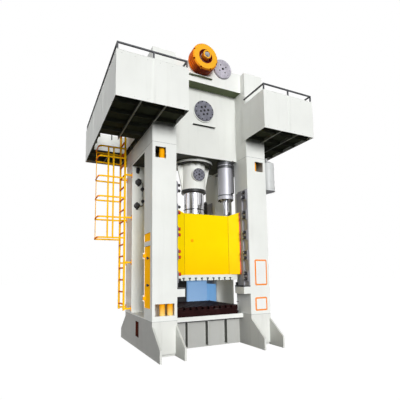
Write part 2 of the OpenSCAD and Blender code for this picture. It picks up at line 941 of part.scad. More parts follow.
module bearing_cap(p) {
    along_y(crown_y, beam_y)
        difference() {
            intersection() {
                union() {
                    translate(p)
                        circle(cap_r);
                    translate([p.x - cap_foot_w / 2, p.y])
                        square([cap_foot_w, cap_foot_h]);
                }
                translate([p.x - cap_foot_w, p.y])
                    square([2 * cap_foot_w, 2 * cap_r]);
            }
            translate(p)
                circle(shaft_r + run_gap);
        }
}

module bearing_caps() {
    color(paint)
        both_y()
            for (p = [brake_p, inter_p])
                bearing_cap(p);
}

// Brake: a fixed drum on the front beam round a hub that turns with the drive shaft
module brake_drum() {
    chamfer = 26;
    step_r = 0.93 * drum_r;
    bore = drum_recess_r - 45;
    notch_r = 22;
    notches = 8;
    color(orange)
        difference() {
            mirror([0, 1, 0])
                turned_y(brake_p, beam_y)
                    polygon([
                        [bore, 0], [step_r, 0], [step_r, drum_flange_t], [drum_r, drum_flange_t],
                        [drum_r, drum_flange_t + drum_d - chamfer],
                        [drum_r - chamfer, drum_flange_t + drum_d],
                        [drum_recess_r, drum_flange_t + drum_d],
                        [drum_recess_r, drum_flange_t + drum_d - drum_recess_d],
                        [bore, drum_flange_t + drum_d - drum_recess_d]
                    ]);
            for (i = [0:notches - 1])
                translate([brake_p.x, drum_face_y, brake_p.y])
                    rotate([-90, 0, 0])
                        rotate((i + 0.5) * 360 / notches)
                            translate([drum_r - notch_r / 2, 0, -eps])
                                cylinder(r = notch_r, h = 60);
        }
}

module brake_hub() {
    hub_outer = drum_recess_r - 60;
    spline_r = shaft_r - 6;
    spline_d = 12;
    splines = 12;
    y0 = drum_face_y - hub_stand;
    y1 = -beam_y - run_gap;
    color(steel)
        difference() {
            union() {
                round_y(brake_p, hub_outer, drum_face_y + 50, y1);
                round_y(brake_p, 0.92 * hub_outer, y0, y1);
            }
            round_y(brake_p, spline_r, y0 - eps, y1 + eps);
            for (i = [0:splines - 1])
                translate([brake_p.x, y0 - eps, brake_p.y])
                    rotate([-90, 0, 0])
                        rotate(i * 360 / splines)
                            translate([0, -spline_d / 2, 0])
                                cube([spline_r + 8, spline_d, y1 - y0 + 2 * eps]);
        }
}

module drive_shaft() {
    spline_r = shaft_r - 6;
    tail_y = flywheel_y + flywheel_w + 40;
    color(steel) {
        round_y(brake_p, spline_r, drum_face_y - hub_stand + 12, -beam_y);
        round_y(brake_p, shaft_r, -beam_y, tail_y);
        along_y(first_gear_y, first_gear_y + first_face)
            gear_outline(first_module, first_pinion_teeth, brake_p, 180 / first_pinion_teeth);
    }
}

module intermediate_shaft() {
    turn = crank_dir + 180 + 180 / crank_pinion_teeth;
    color(steel) {
        round_y(inter_p, shaft_r, -beam_y + 5, beam_y - 5);
        along_y(crank_gear_y, crank_gear_y + crank_face)
            gear_outline(crank_module, crank_pinion_teeth, inter_p, turn);
    }
}

// Spoked gear wheel: a toothed rim, a web with round windows and a hub
module gear_wheel(m, z, p, turn, y, face, bore, windows) {
    rp = m * z / 2;
    rim = 2.6 * m;
    web_inset = face / 4;
    boss = 1.7 * bore;
    pad_r = (boss + rp - rim) / 2;
    difference() {
        along_y(y, y + face)
            gear_outline(m, z, p, turn);
        round_y(p, bore, y - eps, y + face + eps);
        for (y0 = [y, y + face - web_inset])
            difference() {
                round_y(p, rp - rim, y0 - eps, y0 + web_inset + eps);
                round_y(p, boss, y - 2 * eps, y + face + 2 * eps);
            }
        for (i = [0:windows - 1])
            translate([p.x, y - eps, p.y])
                rotate([-90, 0, 0])
                    rotate(i * 360 / windows)
                        translate([pad_r, 0, 0])
                            cylinder(r = 0.33 * (rp - rim - boss), h = face + 2 * eps);
    }
}

module intermediate_gear() {
    color(steel)
        gear_wheel(first_module, first_teeth, inter_p, 180, first_gear_y, first_face, shaft_r, 5);
}

module crank_gear() {
    color(steel)
        gear_wheel(crank_module, crank_teeth, crank_p, crank_dir, crank_gear_y, crank_face, journal_r, 6);
}

module crankshaft() {
    color(steel) {
        round_y(crank_p, journal_r, -crown_y - 10, -web_y);
        round_y(crank_p, web_r, -web_y - web_t, -web_y);
        round_y(pin_p, pin_r, -web_y - eps, web_y + eps);
        round_y(crank_p, web_r, web_y, web_y + web_t);
        round_y(crank_p, journal_r, web_y, crown_y + 10);
    }
}

module pitman() {
    color(steel)
        difference() {
            union() {
                round_y(pin_p, pitman_head_r, -pitman_w / 2, pitman_w / 2);
                translate([0, 0, ball_z])
                    cylinder(r = pitman_r, h = pin_p.y - pin_r - 20 - ball_z);
                translate([0, 0, ball_z])
                    sphere(ball_r);
            }
            round_y(pin_p, pin_r + run_gap, -pitman_w, pitman_w);
        }
}

// Flywheel with V-grooves, motor and belts at the rear
module flywheel() {
    w0 = (flywheel_w - flywheel_web) / 2;
    w1 = w0 + flywheel_web;
    g0 = (flywheel_w - (groove_count - 1) * groove_pitch) / 2;
    grooves = [for (i = [0:groove_count - 1], k = [-1, 0, 1])
        [flywheel_r - (k == 0 ? groove_d : 0), g0 + i * groove_pitch + k * groove_d / 2]];
    color(dark)
        turned_y(brake_p, flywheel_y)
            polygon(concat(
                [[shaft_r + run_gap, 0], [hub_r, 0], [hub_r, w0], [flywheel_r - flywheel_rim, w0],
                 [flywheel_r - flywheel_rim, 0], [flywheel_r, 0]],
                grooves,
                [[flywheel_r, flywheel_w], [flywheel_r - flywheel_rim, flywheel_w],
                 [flywheel_r - flywheel_rim, w1], [hub_r, w1], [hub_r, flywheel_w],
                 [shaft_r + run_gap, flywheel_w]]
            ));
}

module motor() {
    fins = 20;
    fin_t = 8;
    fin_h = 22;
    nose_l = 60;
    spindle_r = 38;
    foot_h = 30;
    base_half = 1.35 * motor_r;
    base_x = max(motor_p.x - base_half, half_o + 4);
    color(steel) {
        round_y(motor_p, motor_r - fin_h, motor_y, motor_y + motor_l);
        round_y(motor_p, motor_r, motor_y, motor_y + nose_l);
        round_y(motor_p, motor_r, motor_y + motor_l - nose_l, motor_y + motor_l);
        for (i = [0:fins - 1])
            translate([motor_p.x, motor_y + nose_l - eps, motor_p.y])
                rotate([-90, 0, 0])
                    rotate((i + 0.5) * 360 / fins)
                        translate([0, -fin_t / 2, 0])
                            cube([motor_r - 4, fin_t, motor_l - 2 * nose_l + 2 * eps]);
        round_y(motor_p, spindle_r, motor_y + motor_l - eps, flywheel_y + flywheel_w);
        span([base_x, motor_y + nose_l, cheek_z],
             [motor_p.x + base_half, motor_y + motor_l - nose_l, cheek_z + foot_h]);
        both_feet_x = 0.55 * motor_r;
        for (s = [-1, 1])
            span([motor_p.x + s * both_feet_x - 30, motor_y + nose_l, cheek_z + foot_h - eps],
                 [motor_p.x + s * both_feet_x + 30, motor_y + motor_l - nose_l, motor_p.y - motor_r / 2]);
    }
}

module motor_pulley() {
    spindle_r = 38;
    g0 = (flywheel_w - (groove_count - 1) * groove_pitch) / 2;
    grooves = [for (i = [0:groove_count - 1], k = [-1, 0, 1])
        [pulley_r - (k == 0 ? groove_d : 0), g0 + i * groove_pitch + k * groove_d / 2]];
    color(dark)
        turned_y(motor_p, flywheel_y)
            polygon(concat(
                [[spindle_r + run_gap, 0], [pulley_r, 0]],
                grooves,
                [[pulley_r, flywheel_w], [spindle_r + run_gap, flywheel_w]]
            ));
}

// Outline round two wheels joined by their outer tangents
module belt_outline(r1, r2) {
    d = motor_p - brake_p;
    dir = atan2(d.y, d.x);
    open = acos((r1 - r2) / norm(d));
    function rim(p, r, a) = p + r * [cos(a), sin(a)];
    translate(brake_p)
        circle(r1);
    translate(motor_p)
        circle(r2);
    polygon([rim(brake_p, r1, dir + open), rim(brake_p, r1, dir - open),
             rim(motor_p, r2, dir - open), rim(motor_p, r2, dir + open)]);
}

module drive_belts() {
    belt_w = groove_pitch - 8;
    g0 = (flywheel_w - (groove_count - 1) * groove_pitch) / 2;
    color(dark)
        for (i = [0:groove_count - 1]) {
            y = flywheel_y + g0 + i * groove_pitch;
            along_y(y - belt_w / 2, y + belt_w / 2)
                difference() {
                    belt_outline(flywheel_r + belt_gap + belt_t, pulley_r + belt_gap + belt_t);
                    belt_outline(flywheel_r + belt_gap, pulley_r + belt_gap);
                }
        }
}

// Plunger and its guide housing
module guide_housing() {
    gusset_t = 40;
    gusset_r = guide_flange_r - 35;
    z0 = crown_z - guide_l;
    z1 = crown_z - guide_flange_t;
    cover_pad_r = guide_cover_r + 14;
    color(paint)
        difference() {
            union() {
                translate([0, 0, z0])
                    cylinder(r = guide_r, h = guide_l);
                translate([0, 0, z1])
                    cylinder(r = guide_flange_r, h = guide_flange_t);
                for (s = [-1, 1])
                    along_y(-gusset_t / 2, gusset_t / 2)
                        polygon([[s * (guide_r - 10), z0 + 20], [s * (guide_r + 12), z0 + 20],
                                 [s * gusset_r, z1 + eps], [s * (guide_r - 10), z1 + eps]]);
                round_y([0, crown_z - guide_l / 2], cover_pad_r, -guide_r - 15, 0);
            }
            translate([0, 0, z0 - eps])
                cylinder(r = plunger_r + run_gap, h = guide_l + 2 * eps);
        }
}

module guide_bolts() {
    count = 16;
    head_r = 30;
    head_h = 32;
    color(dark)
        for (i = [0:count - 1])
            rotate((i + 0.5) * 360 / count)
                translate([guide_flange_r - 50, 0, crown_z - guide_flange_t - head_h])
                    cylinder(r = head_r, h = head_h, $fn = 6);
}

module guide_cover() {
    cover_d = 30;
    y = -guide_r - 15;
    color(steel)
        mirror([0, 1, 0])
            turned_y([0, crown_z - guide_l / 2], -y)
                polygon([[0, 0], [guide_cover_r, 0], [guide_cover_r, cover_d - 8],
                         [guide_cover_r - 8, cover_d], [0, cover_d]]);
}

module seal_ring() {
    z0 = crown_z - guide_l - seal_h;
    color(dark)
        translate([0, 0, z0])
            rotate_extrude()
                polygon([[plunger_r + run_gap, 0], [guide_r - 10, 0], [guide_r + 8, 18],
                         [guide_r + 8, seal_h], [plunger_r + run_gap, seal_h]]);
}

module plunger() {
    bore = plunger_r - plunger_wall;
    collar_r = plunger_r + 30;
    collar_z = 60;
    floor_h = ball_z - ball_r - 45;
    foot_r = plunger_r + 70;
    foot_t = 50;
    color(bright)
        rotate_extrude()
            polygon([[0, plunger_z0], [foot_r, plunger_z0], [foot_r, plunger_z0 + foot_t],
                     [collar_r, plunger_z0 + foot_t], [collar_r, plunger_z0 + foot_t + collar_z],
                     [plunger_r, plunger_z0 + foot_t + collar_z + 12], [plunger_r, plunger_top],
                     [bore, plunger_top], [bore, floor_h], [0, floor_h]]);
}

// Slide: a box with wings that angle forward to the gibs and rise at their outer ends
module slide_plan(inset) {
    w = slide_w / 2;
    f = slide_flat_w / 2;
    polygon([
        [-w + inset, -wing_y + inset], [-f, -slide_y + inset], [f, -slide_y + inset],
        [w - inset, -wing_y + inset], [w - inset, wing_y - inset], [f, slide_y - inset],
        [-f, slide_y - inset], [-w + inset, wing_y - inset]
    ]);
}

module slide_elevation() {
    w = slide_w / 2;
    f = slide_flat_w / 2;
    polygon([[-w, slide_z], [w, slide_z], [w, slide_top + wing_rise], [f, slide_top],
             [-f, slide_top], [-w, slide_top + wing_rise]]);
}

module slide() {
    deck_t = 60;
    core_r = plunger_r + 80;
    color(yellow) {
        intersection() {
            translate([0, 0, slide_z])
                linear_extrude(slide_h + wing_rise)
                    difference() {
                        slide_plan(0);
                        slide_plan(slide_t);
                    }
            along_y(-half_d, half_d)
                slide_elevation();
        }
        for (z = [slide_z, slide_top - deck_t])
            translate([0, 0, z])
                linear_extrude(deck_t)
                    slide_plan(slide_t - eps);
        translate([0, 0, slide_z + deck_t - eps])
            difference() {
                cylinder(r = core_r, h = slide_h - 2 * deck_t + 2 * eps);
                translate([0, 0, -eps])
                    cylinder(r = core_r - slide_t, h = slide_h);
            }
    }
}

module clamp_plate() {
    color(bright)
        difference() {
            span([-clamp_w / 2, -clamp_y, slide_z - clamp_t], [clamp_w / 2, clamp_y, slide_z]);
            tee_slots(slot_count, slot_pitch, clamp_y, slide_z - clamp_t, 1);
        }
}

// Gibs on the uprights' inner faces, with rows of adjusting bolts
module gib() {
    block_h = 240;
    color(dark) {
        span([half_o - gib_plate_t, -gib_y, gib_z], [half_o, -gib_y + gib_d, gib_z + gib_l]);
        span([gib_face, -gib_y + gib_set, gib_z],
             [half_o - gib_plate_t + eps, -gib_y + gib_d, gib_z + gib_l - 50]);
        for (i = [0:gib_rows - 1]) {
            z = gib_z + gib_first + i * gib_pitch;
            span([gib_face + gib_block, -gib_y + 15, z - block_h / 2],
                 [half_o - gib_plate_t + eps, -gib_y + 2 * gib_bolt_set - 15, z + block_h / 2]);
        }
    }
}

module gib_front_right() {
    gib();
}

module gib_front_left() {
    mirror([1, 0, 0])
        gib();
}

module gib_rear_right() {
    mirror([0, 1, 0])
        gib();
}

module gib_rear_left() {
    mirror([1, 0, 0])
        mirror([0, 1, 0])
            gib();
}

module gib_bolts() {
    nut_r = 42;
    nut_h = 22;
    head_r = 33;
    head_h = 45;
    lift = 62;
    color(steel)
        four_corners()
            for (i = [0:gib_rows - 1], s = [-1, 1])
                translate([gib_face + gib_block, -gib_y + gib_bolt_set,
                           gib_z + gib_first + i * gib_pitch + s * lift])
                    rotate([0, -90, 0]) {
                        cylinder(r = nut_r, h = nut_h, $fn = 6);
                        translate([0, 0, nut_h - eps])
                            cylinder(r = head_r - 8, h = 8 + 2 * eps);
                        translate([0, 0, nut_h + 8])
                            cylinder(r = head_r, h = head_h - 8, $fn = 6);
                    }
}

// Balance cylinders: one at the front right, one at the rear left
module balance_cylinder() {
    bore = balance_r - 28;
    z1 = crown_z;
    z0 = z1 - balance_l;
    head_t = 40;
    color(bright)
        translate([balance_p.x, -balance_p.y, 0])
            rotate_extrude()
                polygon([
                    [balance_rod_r + run_gap, z0 - balance_flange], [balance_r + 10, z0 - balance_flange],
                    [balance_r + 10, z0], [balance_r, z0], [balance_r, z1 - head_t],
                    [balance_r + 14, z1 - head_t], [balance_r + 14, z1], [0, z1], [0, z1 - head_t],
                    [bore, z1 - head_t], [bore, z0], [balance_rod_r + run_gap, z0]
                ]);
}

module balance_rod() {
    bore = balance_r - 28;
    piston_z = crown_z - 130;
    piston_t = 70;
    foot_r = min(balance_rod_r + 45, balance_in - slide_side - slide_t - 8);
    color(steel)
        translate([balance_p.x, -balance_p.y, 0])
            rotate_extrude()
                polygon([[0, slide_top], [foot_r, slide_top], [foot_r, slide_top + 40],
                         [balance_rod_r, slide_top + 40], [balance_rod_r, piston_z - piston_t],
                         [bore - run_gap, piston_z - piston_t], [bore - run_gap, piston_z], [0, piston_z]]);
}

module balance_cylinder_front() {
    balance_cylinder();
}

module balance_cylinder_rear() {
    rotate(180)
        balance_cylinder();
}

module balance_rod_front() {
    balance_rod();
}

module balance_rod_rear() {
    rotate(180)
        balance_rod();
}

// Short hollow beams under the front gibs, with a steel pad on each; a narrow toe runs on beside the clamp plate
module side_beam() {
    beam_wall = 14;
    z1 = side_beam_z + side_beam_h;
    color(paint)
        difference() {
            union() {
                span([half_o - beam_w, -half_d, side_beam_z], [half_o, beam_step_y, z1]);
                span([half_o - beam_toe_w, beam_step_y - eps, side_beam_z], [half_o, beam_end_y, z1]);
            }
            span([half_o - beam_w + beam_wall, -half_d + beam_wall, side_beam_z + beam_wall],
                 [half_o - beam_wall, beam_step_y - beam_wall, z1 - beam_wall]);
            span([half_o - beam_toe_w + beam_wall, beam_step_y - 2 * beam_wall, side_beam_z + beam_wall],
                 [half_o - beam_wall, beam_end_y + eps, z1 - beam_wall]);
        }
}

module side_beam_right() {
    side_beam();
}

module side_beam_left() {
    mirror([1, 0, 0])
        side_beam();
}

module beam_pads() {
    z = side_beam_z + side_beam_h;
    color(dark)
        both_x() {
            span([half_o - beam_w - 14, -half_d, z], [half_o, beam_step_y, z + pad_t]);
            span([half_o - beam_toe_w, beam_step_y - eps, z], [half_o, beam_end_y, z + pad_t]);
        }
}

// Rear guard: a frame behind the rear posts, with a leaf that folds along the right post
module rear_guard_frame() {
    z1 = guard_z + guard_h;
    split = half_o - guard_leaf_w;
    sheet_t = 8;
    color(dark) {
        for (z = [guard_z, z1 - guard_bar])
            span([-guard_x, guard_y, z], [guard_x, guard_y + guard_t, z + guard_bar]);
        for (x = [-guard_x, split - guard_bar, guard_x - guard_bar])
            span([x, guard_y, guard_z + eps], [x + guard_bar, guard_y + guard_t, z1 - eps]);
        span([-guard_x + eps, guard_y + guard_t / 2, guard_z + eps],
             [split - eps, guard_y + guard_t / 2 + sheet_t, z1 - eps]);
    }
}

module rear_guard_leaf() {
    leaf_t = 6;
    fold_y = half_d - post_d + 40;
    x0 = half_o - guard_leaf_w - guard_bar / 2;
    z0 = guard_z + 10;
    color(blue)
        union() {
            span([x0, half_d - leaf_t, z0], [half_o, half_d, guard_z + guard_h - 10]);
            span([half_o - leaf_t, fold_y, z0], [half_o, half_d, gib_z - 10]);
        }
}

// Galleries: a U of floor round each crown cheek, panels and a top rail
module gallery_outline(x_in, inset) {
    translate([x_in + inset, -half_d - gallery_front + inset])
        square([gallery_w - 2 * inset, frame_d + gallery_front + gallery_rear - 2 * inset]);
}

module cheek_outline() {
    translate([0, -half_d])
        square([half_w, frame_d]);
}

module gallery_ring(x_in, outer, inner) {
    difference() {
        gallery_outline(x_in, outer);
        gallery_outline(x_in, inner);
        cheek_outline();
    }
}

module gallery_floor(x_in) {
    x_ribs = 9;
    y_ribs = 3;
    rib_t = 14;
    l = frame_d + gallery_front + gallery_rear;
    translate([0, 0, floor_z])
        linear_extrude(floor_t)
            difference() {
                gallery_outline(x_in, panel_t);
                cheek_outline();
            }
    translate([0, 0, gallery_z])
        linear_extrude(floor_rib_h + eps)
            difference() {
                intersection() {
                    gallery_outline(x_in, panel_t);
                    union() {
                        for (i = [0:x_ribs - 1])
                            translate([0, -half_d - gallery_front + (i + 0.5) * l / x_ribs - rib_t / 2])
                                square([frame_w, rib_t]);
                        for (i = [1:y_ribs - 1])
                            translate([x_in + i * gallery_w / y_ribs - rib_t / 2, -l])
                                square([rib_t, 2 * l]);
                    }
                }
                cheek_outline();
            }
}

module gallery_panels(x_in) {
    translate([0, 0, gallery_z])
        linear_extrude(panel_h)
            gallery_ring(x_in, 0, panel_t);
}

module gallery_rail(x_in) {
    post_l = rail_rise + 120;
    y0 = -half_d - gallery_front + panel_t;
    y1 = half_d + gallery_rear - panel_t - rail_s;
    x1 = x_in + gallery_w - panel_t - rail_s;
    x0 = x_in + panel_t;
    bays = 5;
    translate([0, 0, rail_z - rail_s])
        linear_extrude(rail_s)
            gallery_ring(x_in, panel_t, panel_t + rail_s);
    for (i = [0:bays])
        translate([x1, y0 + (y1 - y0) * i / bays, rail_z - post_l])
            cube([rail_s, rail_s, post_l - eps]);
    for (y = [y0, y1], x = [x0, (x0 + x1) / 2])
        translate([x, y, rail_z - post_l])
            cube([rail_s, rail_s, post_l - eps]);
}

module left_floor() {
    color(paint)
        difference() {
            mirror([1, 0, 0])
                gallery_floor(gallery_in_left);
            span([-hatch_x1, hatch_y0, gallery_z - eps], [-hatch_x0, hatch_y1, floor_z + floor_t + eps]);
        }
}

module left_panels() {
    color(paint)
        mirror([1, 0, 0])
            gallery_panels(gallery_in_left);
}

module left_rail() {
    color(dark)
        mirror([1, 0, 0])
            gallery_rail(gallery_in_left);
}

module right_floor() {
    color(paint)
        gallery_floor(gallery_in_right);
}

module right_panels() {
    color(paint)
        gallery_panels(gallery_in_right);
}

module right_rail() {
    color(dark)
        gallery_rail(gallery_in_right);
}

// Ladder on the rear left post, with a cage of flat hoops and straps
module ladder() {
    rungs = floor(ladder_l / rung_pitch);
    y_in = ladder_w / 2;
    bracket_zs = ladder_l * [0.004, 0.223, 0.442, 0.656];
    color(orange) {
        for (s = [-1, 1]) {
            y = s > 0 ? ladder_y + y_in : ladder_y - y_in - stringer_t;
            span([ladder_x - stringer_d / 2, y, ladder_z],
                 [ladder_x + stringer_d / 2, y + stringer_t, ladder_z + ladder_l]);
            for (z = bracket_zs)
                span([ladder_x + stringer_d / 2 - eps, y, ladder_z + z],
                     [-half_w, y + stringer_t, ladder_z + z + bracket_w]);
        }
        for (i = [0:rungs - 1])
            round_y([ladder_x, ladder_z + (i + 0.5) * rung_pitch], rung_r,
                    ladder_y - y_in - eps, ladder_y + y_in + eps);
    }
}

module hoop_outline(grow) {
    r = hoop_corner_r + grow;
    w = ladder_w / 2 + stringer_t + grow;
    reach = cage_d + grow;
    x = ladder_x - reach;
    translate([x + r, ladder_y - w])
        square([reach - r - stringer_d / 2, 2 * w]);
    translate([x, ladder_y - w + r])
        square([reach - stringer_d / 2, 2 * (w - r)]);
    for (s = [-1, 1])
        translate([x + r, ladder_y + s * (w - r)])
            circle(r);
}

module hoop_ring(h) {
    w = ladder_w / 2 + stringer_t;
    linear_extrude(h)
        difference() {
            union() {
                hoop_outline(hoop_t);
                translate([ladder_x - stringer_d / 2 - eps, ladder_y - w - hoop_t])
                    square([stringer_d / 2 + eps, 2 * (w + hoop_t)]);
            }
            hoop_outline(0);
            translate([ladder_x - stringer_d, ladder_y - w])
                square([2 * stringer_d, 2 * w]);
        }
}

module ladder_cage() {
    strap_w = 40;
    sink = 2;
    w = ladder_w / 2 + stringer_t;
    top = cage_top_z + hoop_h;
    color(yellow) {
        for (i = [0:hoop_count - 1])
            translate([0, 0, cage_z + i * hoop_share * (cage_top_z - cage_z)])
                hoop_ring(hoop_h);
        translate([0, 0, cage_top_z])
            hoop_ring(hoop_h);
        for (f = [0.45, 0.65])
            span([ladder_x - f * cage_d - strap_w / 2, ladder_y - w - sink, cage_z],
                 [ladder_x - f * cage_d + strap_w / 2, ladder_y - w + hoop_t, top]);
        span([ladder_x - cage_d - sink, ladder_y + w / 2, cage_z],
             [ladder_x - cage_d + hoop_t, ladder_y + w / 2 + strap_w, top]);
    }
}

// Air tank on a bracket at the right upright
module air_tank() {
    neck_r = 40;
    ring_r = tank_r + 8;
    ring_z = 60;
    color(bright)
        translate([tank_p.x, tank_p.y, tank_z])
            rotate_extrude()
                polygon([[0, 0], [tank_r, 0], [tank_r, ring_z], [ring_r, ring_z], [ring_r, 2 * ring_z],
                         [tank_r, 2 * ring_z], [tank_r, tank_l], [neck_r, tank_l], [0, tank_l]]);
}

module tank_caps() {
    dome_h = 70;
    color(dark)
        translate([tank_p.x, tank_p.y, tank_z + tank_l])
            intersection() {
                cylinder(r = tank_r, h = dome_h);
                translate([0, 0, -tank_r])
                    sphere(r = tank_r + dome_h);
            }
}

module tank_bracket() {
    shelf_t = 16;
    back_t = 20;
    back_h = 200;
    color(dark) {
        along_y(tank_p.y - tank_r, tank_p.y + tank_r)
            polygon([[half_w, tank_z - shelf_t], [tank_p.x + tank_r / 2, tank_z - shelf_t],
                     [tank_p.x + tank_r / 2, tank_z], [half_w + back_t, tank_z],
                     [half_w + back_t, tank_z + back_h], [half_w, tank_z + back_h]]);
    }
}

bed();
table_plate();
bolster();
left_upright();
right_upright();
crown();
gear_cover();
tie_rods();
tie_rod_nuts();
guide_housing();
guide_bolts();
guide_cover();
seal_ring();
plunger();
slide();
clamp_plate();
gib_front_left();
gib_front_right();
gib_rear_left();
gib_rear_right();
gib_bolts();
balance_cylinder_front();
balance_cylinder_rear();
balance_rod_front();
balance_rod_rear();
side_beam_left();
side_beam_right();
beam_pads();
rear_guard_frame();
rear_guard_leaf();
left_floor();
left_panels();
left_rail();
right_floor();
right_panels();
right_rail();
ladder();
ladder_cage();
crank_covers();
shaft_covers();
bearing_caps();
brake_drum();
brake_hub();
drive_shaft();
intermediate_shaft();
intermediate_gear();
crankshaft();
crank_gear();
pitman();
flywheel();
motor();
motor_pulley();
drive_belts();
service_door();
door_knobs();
door_hinges();
service_cover();
air_tank();
tank_caps();
tank_bracket();
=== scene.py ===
"""Looks of the trimming press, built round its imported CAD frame. Metres, +Z up, +Y to the rear."""

import json
import math

import bmesh
import bpy
from mathutils import Matrix, Vector


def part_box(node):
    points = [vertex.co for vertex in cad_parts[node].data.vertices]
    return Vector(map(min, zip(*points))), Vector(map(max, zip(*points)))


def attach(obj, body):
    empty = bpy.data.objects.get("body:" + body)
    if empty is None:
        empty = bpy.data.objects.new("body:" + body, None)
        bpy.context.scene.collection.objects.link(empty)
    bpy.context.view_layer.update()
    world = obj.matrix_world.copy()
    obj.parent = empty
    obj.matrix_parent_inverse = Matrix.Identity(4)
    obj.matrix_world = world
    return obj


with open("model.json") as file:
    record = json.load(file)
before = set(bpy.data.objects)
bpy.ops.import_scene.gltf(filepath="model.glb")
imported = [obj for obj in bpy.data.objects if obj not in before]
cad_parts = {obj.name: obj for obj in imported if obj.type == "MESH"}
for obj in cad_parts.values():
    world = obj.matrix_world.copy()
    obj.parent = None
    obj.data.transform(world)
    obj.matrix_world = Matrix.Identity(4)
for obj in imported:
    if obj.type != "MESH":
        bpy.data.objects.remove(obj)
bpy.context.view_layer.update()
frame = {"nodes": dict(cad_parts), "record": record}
scene = bpy.context.scene
scene.view_settings.view_transform = "Standard"


# Camera: the photograph's standing viewpoint, in front and to the left

IMAGE_SIZE = 400.0
FOCAL_PX = 334.38
PRINCIPAL_PX = (196.74, 234.40)
SENSOR_MM = 36.0
EYE = Vector((-3.5689, -7.5557, 1.65))
YAW, PITCH, ROLL = 0.4495, 0.1159, -0.0132


def place_camera():
    ahead = Vector((math.sin(YAW) * math.cos(PITCH), math.cos(YAW) * math.cos(PITCH), math.sin(PITCH)))
    right = Vector((math.cos(YAW), -math.sin(YAW), 0.0))
    up = right.cross(ahead)
    right, up = (right * math.cos(ROLL) + up * math.sin(ROLL), up * math.cos(ROLL) - right * math.sin(ROLL))
    data = bpy.data.cameras.new("standing_view")
    data.sensor_width = SENSOR_MM
    data.lens = FOCAL_PX / IMAGE_SIZE * SENSOR_MM
    data.shift_x = (IMAGE_SIZE / 2 - PRINCIPAL_PX[0]) / IMAGE_SIZE
    data.shift_y = (PRINCIPAL_PX[1] - IMAGE_SIZE / 2) / IMAGE_SIZE
    data.clip_end = 200.0
    camera = bpy.data.objects.new("standing_view", data)
    turn = Matrix((right, up, -ahead)).transposed().to_4x4()
    camera.matrix_world = Matrix.Translation(EYE) @ turn
    scene.collection.objects.link(camera)
    scene.camera = camera


place_camera()


# Node helpers

def fill(tree, socket, value):
    """Links a socket to another node's output, or sets it to a plain value."""
    if isinstance(value, bpy.types.NodeSocket):
        tree.links.new(value, socket)
    else:
        socket.default_value = (*value, 1.0) if socket.type == "RGBA" else value


def node(tree, kind, inputs=None, **settings):
    """Adds a node with its settings made and its inputs filled."""
    made = tree.nodes.new(kind)
    for name, value in settings.items():
        setattr(made, name, value)
    for key, value in (inputs or {}).items():
        fill(tree, made.inputs[key], value)
    return made


def found(tree, kind):
    """The node of a kind that a new tree starts with."""
    return next(n for n in tree.nodes if n.type == kind)


def calc(tree, operation, a, b):
    return node(tree, "ShaderNodeMath", {0: a, 1: b}, operation=operation).outputs[0]


# Finishes

NOISE_LOW, NOISE_HIGH = 0.3, 0.7
OFF, FULL = (0.0, 0.0, 0.0), (1.0, 1.0, 1.0)


class Finish:
    """A node material with a Principled shader and short ways to feed it from Object coordinates."""

    def __init__(self, name):
        self.material = bpy.data.materials.new(name)
        self.material.use_nodes = True
        self.tree = self.material.node_tree
        self.shader = found(self.tree, "BSDF_PRINCIPLED")
        self.place = node(self.tree, "ShaderNodeTexCoord").outputs

    def set(self, **sockets):
        for name, value in sockets.items():
            fill(self.tree, self.shader.inputs[name.replace("_", " ")], value)

    def stretch(self, scale):
        inputs = {"Vector": self.place["Object"], "Scale": scale}
        return node(self.tree, "ShaderNodeMapping", inputs).outputs["Vector"]

    def noise(self, scale, detail=4.0, rough=0.55, vector=None):
        inputs = {"Vector": self.place["Object"] if vector is None else vector,
                  "Scale": scale, "Detail": detail, "Roughness": rough}
        return node(self.tree, "ShaderNodeTexNoise", inputs).outputs["Fac"]

    def part(self, source, axis, operation="ABSOLUTE"):
        """One axis of the place or the normal: its size, or with MULTIPLY its amount the other way."""
        split = node(self.tree, "ShaderNodeSeparateXYZ", {0: self.place[source]})
        return calc(self.tree, operation, split.outputs[axis], -1.0)

    def along(self, axis, start, end):
        """0 at the start and 1 at the end of a stretch, measured from zero along one Object axis."""
        inputs = {"Value": self.part("Object", axis), "From Min": start, "From Max": end}
        return node(self.tree, "ShaderNodeMapRange", inputs).outputs["Result"]

    def spread(self, value, low, high):
        """Carries the band that noise mostly fills over to a range from low to high."""
        inputs = {"Value": value, "From Min": NOISE_LOW, "From Max": NOISE_HIGH,
                  "To Min": low, "To Max": high}
        return node(self.tree, "ShaderNodeMapRange", inputs).outputs["Result"]

    def ramp(self, value, stops):
        ramp = node(self.tree, "ShaderNodeValToRGB", {"Fac": value})
        while len(ramp.color_ramp.elements) < len(stops):
            ramp.color_ramp.elements.new(0.5)
        for element, (at, colour) in zip(ramp.color_ramp.elements, stops):
            element.position = at
            element.color = (*colour, 1.0)
        return ramp.outputs["Color"]

    def tones(self, value, colour, dark, light, middle=0.55, top=0.80):
        """A colour in patches: darkened where the value is low, lightened where it is high."""
        return self.ramp(value, [(0.30, shade(colour, dark)), (middle, colour), (top, shade(colour, light))])

    def mix(self, factor, a, b):
        return node(self.tree, "ShaderNodeMix", {"Factor": factor, 6: a, 7: b}, data_type="RGBA").outputs[2]

    def bump(self, height, strength, distance):
        inputs = {"Height": height, "Strength": strength, "Distance": distance}
        self.set(Normal=node(self.tree, "ShaderNodeBump", inputs).outputs["Normal"])


def shade(colour, factor):
    return tuple(min(1.0, c * factor) for c in colour)


